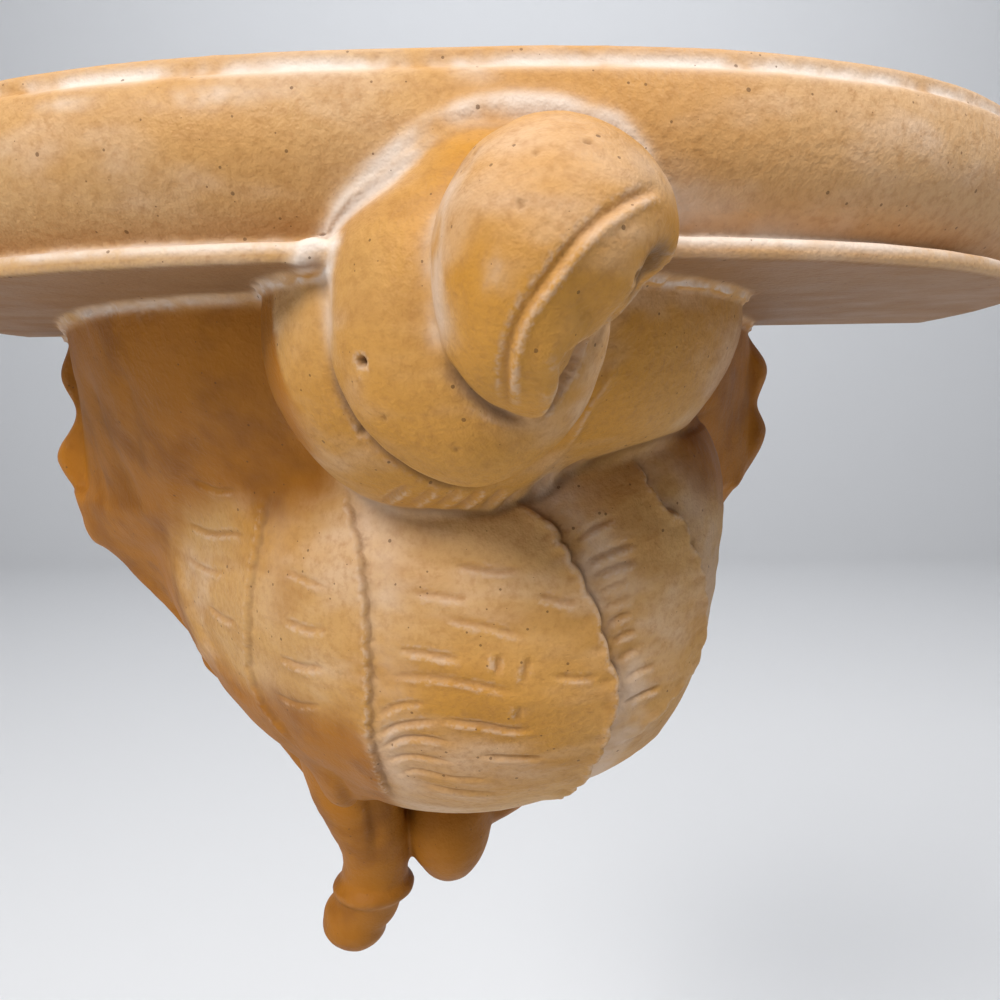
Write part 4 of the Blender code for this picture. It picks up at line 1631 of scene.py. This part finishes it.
@dataclass(frozen=True)
class StainedPlaster:
    """Terracotta-coloured plaster: stained and waxed, with pale residue, pinholes and grain, and with
    painted shade in its cuts, hollows, pinholes, underside and spire's downward faces and a painted
    highlight on its ridges.

    Attributes:
        colours: its colours.
        grain_depth: how deep the bump is, in metres.
        patch_share: how strong the umber patches are, and so on for each coat of colour.
        pinhole_cells: cells per metre, each of which may hold a pinhole.
        pinholes_kept: the share of the cells that do.
    """

    colours: PlasterColours = PlasterColours()
    grain_depth: float = 0.4 * MM
    bump_strength: float = 0.85
    specular: float = 0.14
    patch_share: float = 0.45
    streak_share: float = 0.35
    shaded_gold_share: float = 0.8
    bloom_share: float = 0.50
    paler_share: float = 0.45
    dust_share: float = 0.30
    freckle_share: float = 0.40
    crevice_share: float = 0.62
    smudge_share: float = 0.55
    soak_share: float = 0.94
    wear_and_highlight_share: float = 0.48
    line_shade_share: float = 0.38
    recess_shade_share: float = 0.72
    chalk_share: float = 0.80
    underside_shade_share: float = 0.75
    bare_share: float = 0.85
    pinhole_shade_share: float = 0.62
    pinhole_cells: float = 640
    pinholes_kept: float = 0.15

    def base_colour(self, bench: NodeBench, place: object, pinhole: object) -> bpy.types.NodeSocket:
        """The stain's colour over the casting.

        Args:
            bench: the material's bench.
            place: Object coordinates.
            pinhole: the mask of the pinholes, which painted shade darkens.

        Returns:
            The colour's socket.
        """
        tone = self.colours
        even = (1.0, 1.0, 1.0)
        broad = bench.speckle(place, 16, 1, even)
        patch = bench.speckle(place, 42, 3, even, 0.62)
        fine = bench.speckle(place, 480, 2, even, 0.68)
        streak = bench.speckle(place, 60, 2, (0.25, 0.6, 2.2), 0.65)
        bloom = bench.speckle(place, 24, 3, (0.7, 1.0, 1.6), 0.66)
        colour = bench.mix(bench.steps(broad, 0.36, 0.66), tone.ochre, tone.honey)
        colour = bench.coat(colour, tone.umber, bench.steps(patch, 0.48, 0.78), self.patch_share)
        colour = bench.coat(colour, tone.umber, bench.steps(streak, 0.48, 0.74), self.streak_share)
        # painted shade: a deeper honey tone on the spire's faces that look down
        colour = bench.coat(colour, tone.honey, bench.mask(Mask.GOLD), self.shaded_gold_share)
        # paler in random blooms, and on the shelf, more so towards its right end
        paler = bench.maths("MULTIPLY", bench.steps(bloom, 0.48, 0.72), self.bloom_share)
        paler = bench.maths("MULTIPLY_ADD", bench.mask(Mask.FADED), self.paler_share, paler)
        colour = bench.mix(paler, colour, tone.residue)
        dusty = bench.maths("MULTIPLY", bench.mask(Mask.DUST), bench.steps(bloom, 0.30, 0.60))
        colour = bench.coat(colour, tone.residue, dusty, self.dust_share)
        colour = bench.coat(colour, tone.umber, bench.steps(fine, 0.38, 0.78), self.freckle_share)
        crevice = bench.maths("MULTIPLY", bench.mask(Mask.CREVICE), bench.steps(patch, 0.34, 0.60))
        colour = bench.coat(colour, tone.residue, crevice, self.crevice_share)
        smudges = bench.steps(patch, 0.42, 0.66)
        amber = bench.coat(tone.amber, tone.amber_dark, smudges, self.smudge_share)
        soak = bench.maths("ADD", bench.mask(Mask.AMBER), bench.maths("MULTIPLY_ADD", patch, 0.6, -0.30))
        colour = bench.coat(colour, amber, bench.steps(soak, 0.10, 0.70), self.soak_share)
        return self.residues(bench, colour, patch, fine, pinhole)

    def residues(self, bench: NodeBench, colour: object, patch: object, fine: object,
                 pinhole: object) -> bpy.types.NodeSocket:
        """The residue and chalk that lie on the stain, with the painted shade and painted highlight laid
        over it.

        Args:
            bench: the material's bench.
            colour: the stain's colour.
            patch: broad unevenness.
            fine: fine unevenness.
            pinhole: the mask of the pinholes, which painted shade darkens.

        Returns:
            The finished colour's socket.
        """
        tone = self.colours
        # partly wear and deposit, partly a painted highlight on the ridges
        wear_and_highlight = bench.maths("MULTIPLY", bench.mask(Mask.RIDGE), bench.steps(fine, 0.36, 0.60))
        chalk = bench.maths("MULTIPLY", bench.mask(Mask.CHALK), bench.steps(patch, 0.34, 0.56))
        coats = (
            (tone.residue, wear_and_highlight, self.wear_and_highlight_share),
            # painted shade in the fine hollows
            (tone.umber, bench.mask(Mask.LINE), self.line_shade_share),
            # painted shade in the cuts and pits and beside raised edges
            (tone.recess_shade, bench.mask(Mask.GRIME), self.recess_shade_share),
            (tone.chalk, chalk, self.chalk_share),
            # painted shade on the shelf's underside
            (tone.under, bench.mask(Mask.SHADE), self.underside_shade_share),
            (tone.bare, bench.mask(Mask.BARE), self.bare_share),
            # painted shade in the pinholes
            (tone.recess_shade, pinhole, self.pinhole_shade_share),
        )
        for tint, mask, share in coats:
            colour = bench.coat(colour, tint, mask, share)
        return colour

    def build(self) -> bpy.types.Material:
        """Lays out the plaster's nodes.

        Returns:
            The material.
        """
        material = bpy.data.materials.new("stained_plaster")
        material.use_nodes = True
        bench = NodeBench(material.node_tree)
        shader = material.node_tree.nodes["Principled BSDF"]
        place = bench.add("ShaderNodeTexCoord").outputs["Object"]
        holes = PinholeGroup().place(bench, place, self.pinhole_cells, self.pinholes_kept)
        bench.join(self.base_colour(bench, place, holes), shader.inputs["Base Color"])
        sheen = bench.speckle(place, 70, 1, (1.0, 1.0, 1.0))
        rough = bench.maths("MULTIPLY_ADD", sheen, 0.34, 0.38)
        rough = bench.maths("ADD", rough, bench.maths("MULTIPLY", bench.mask(Mask.CREVICE), 0.2))
        bench.join(rough, shader.inputs["Roughness"])
        shader.inputs["Metallic"].default_value = 0.0
        shader.inputs["Specular IOR Level"].default_value = self.specular
        height = bench.speckle(place, 600, 2, (1.0, 1.0, 1.0), 0.65)
        bump = bench.add("ShaderNodeBump")
        bump.inputs["Strength"].default_value = self.bump_strength
        bump.inputs["Distance"].default_value = self.grain_depth
        bench.join(height, bump.inputs["Height"])
        bench.join(bump.outputs["Normal"], shader.inputs["Normal"])
        return material


@dataclass(frozen=True)
class SoftLight:
    """A square soft light.

    Attributes:
        name: its name.
        place: where it hangs.
        size: its side.
        power: its power in watts.
        tone: its colour.
        target: what it faces.
    """

    name: str
    place: tuple[float, float, float]
    size: float
    power: float
    tone: tuple[float, float, float]
    target: tuple[float, float, float] = (0, -0.09, -0.04)


@dataclass
class Studio:
    """The pale floor and backdrop, the soft lights and the camera at the photograph's angle.

    Attributes:
        camera_place: the camera's place from the shelf's top, in millimetres.
        camera_turn: its yaw, pitch and roll in degrees.
        camera_lens: its lens for a 36 mm wide frame, in millimetres.
        floor_drop: how far the floor lies under the origin.
        floor_span: the floor's side and the backdrop's height.
        sweep_radius: how far the bend between them reaches.
        lights: the soft lights.
    """

    camera_place: tuple[float, float, float] = (20.0, -334.2, -63.0)
    camera_turn: tuple[float, float, float] = (-1.55, -6.44, -0.81)
    camera_lens: float = 32.4
    floor_drop: float = 0.62
    floor_span: float = 6.0
    floor_tone: tuple[float, float, float] = (0.78, 0.79, 0.81)
    daylight: tuple[float, float, float] = (0.88, 0.93, 1.0)
    daylight_strength: float = 0.17
    sweep_radius: float = 2.4
    sweep_steps: int = 32
    lights: tuple[SoftLight, ...] = (
        SoftLight("key", (-0.6, -1.05, 0.85), 0.45, 18.5, (1.0, 0.97, 0.93)),
        SoftLight("low_fill", (-0.9, -0.8, -0.2), 0.9, 1.4, (1.0, 0.95, 0.86)),
        SoftLight("right_high", (0.8, -0.6, 1.25), 0.4, 16.5, (1.0, 0.98, 0.95)),
        SoftLight("backdrop_wash", (0, 1.2, 2.2), 2.5, 37.0, (0.95, 0.97, 1.0), (0, 2.6, -0.2)),
    )

    def add_camera(self) -> bpy.types.Object:
        """Stands the camera where the photograph was taken from.

        Returns:
            The camera.
        """
        yaw, pitch, roll = (math.radians(turn) for turn in self.camera_turn)
        level = Vector((math.cos(yaw), -math.sin(yaw), 0))
        ahead = Vector((math.sin(yaw), math.cos(yaw), 0))
        forward = ahead * math.cos(pitch) + Vector((0, 0, math.sin(pitch)))
        upward = Vector((0, 0, math.cos(pitch))) - ahead * math.sin(pitch)
        right = level * math.cos(roll) + upward * math.sin(roll)
        upward = upward * math.cos(roll) - level * math.sin(roll)
        place = Vector(self.camera_place) * MM + Vector((0, 0, SHELF_TOP))
        bpy.ops.object.camera_add()
        camera = bpy.context.object
        camera.name = "photograph_view"
        camera.data.sensor_width = 36.0
        camera.data.lens = self.camera_lens
        camera.data.clip_start = 0.01
        turn = Matrix((right, upward, -forward)).transposed()
        camera.matrix_world = Matrix.Translation(place) @ turn.to_4x4()
        bpy.context.scene.camera = camera
        return camera

    def add_floor(self) -> bpy.types.Object:
        """Lays a pale floor that sweeps up into a backdrop.

        Returns:
            The floor.
        """
        clear_selection()
        bpy.ops.mesh.primitive_plane_add(size=self.floor_span, location=(0, 0, -self.floor_drop))
        floor = bpy.context.object
        floor.name = "floor_sweep"
        bpy.ops.object.mode_set(mode="EDIT")
        sweep = bmesh.from_edit_mesh(floor.data)
        for edge in sweep.edges:
            edge.select = all(vertex.co.y > 0 for vertex in edge.verts)
        bmesh.update_edit_mesh(floor.data)
        bpy.ops.mesh.extrude_region_move(TRANSFORM_OT_translate={"value": (0, 0, self.floor_span)})
        bpy.ops.mesh.select_all(action="DESELECT")
        sweep = bmesh.from_edit_mesh(floor.data)
        for edge in sweep.edges:
            edge.select = all(vertex.co.y > 0 and vertex.co.z < 1 for vertex in edge.verts)
        bmesh.update_edit_mesh(floor.data)
        bpy.ops.mesh.bevel(offset=self.sweep_radius, segments=self.sweep_steps)
        bpy.ops.object.mode_set(mode="OBJECT")
        bpy.ops.object.shade_smooth()
        paint = bpy.data.materials.new("pale_floor")
        paint.use_nodes = True
        shader = paint.node_tree.nodes["Principled BSDF"]
        shader.inputs["Base Color"].default_value = (*self.floor_tone, 1.0)
        shader.inputs["Roughness"].default_value = 0.9
        floor.data.materials.append(paint)
        return floor

    def add_light(self, soft: SoftLight) -> bpy.types.Object:
        """Hangs a light.

        Args:
            soft: its sizes and colour.

        Returns:
            The light.
        """
        bpy.ops.object.light_add(type="AREA", location=soft.place)
        light = bpy.context.object
        light.name = soft.name
        light.data.size = soft.size
        light.data.energy = soft.power
        light.data.color = soft.tone
        aim = Vector(soft.target) - Vector(soft.place)
        light.rotation_euler = aim.to_track_quat("-Z", "Y").to_euler()
        return light

    def build(self) -> None:
        """Sets up the whole studio."""
        self.add_camera()
        self.add_floor()
        for light in self.lights:
            self.add_light(light)
        bpy.context.scene.view_settings.view_transform = "Standard"
        world = bpy.data.worlds.new("daylight")
        world.use_nodes = True
        background = world.node_tree.nodes["Background"]
        background.inputs["Color"].default_value = (*self.daylight, 1.0)
        background.inputs["Strength"].default_value = self.daylight_strength
        bpy.context.scene.world = world


def main() -> None:
    """Builds the casting, dresses it and sets up the studio."""
    logging.basicConfig(level=logging.INFO, format="%(name)s: %(message)s")
    casting = Casting().build()
    casting.data.materials.clear()
    casting.data.materials.append(StainedPlaster().build())
    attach(casting, "root")
    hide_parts(NODE)
    Studio().build()


if __name__ == "__main__":
    main()
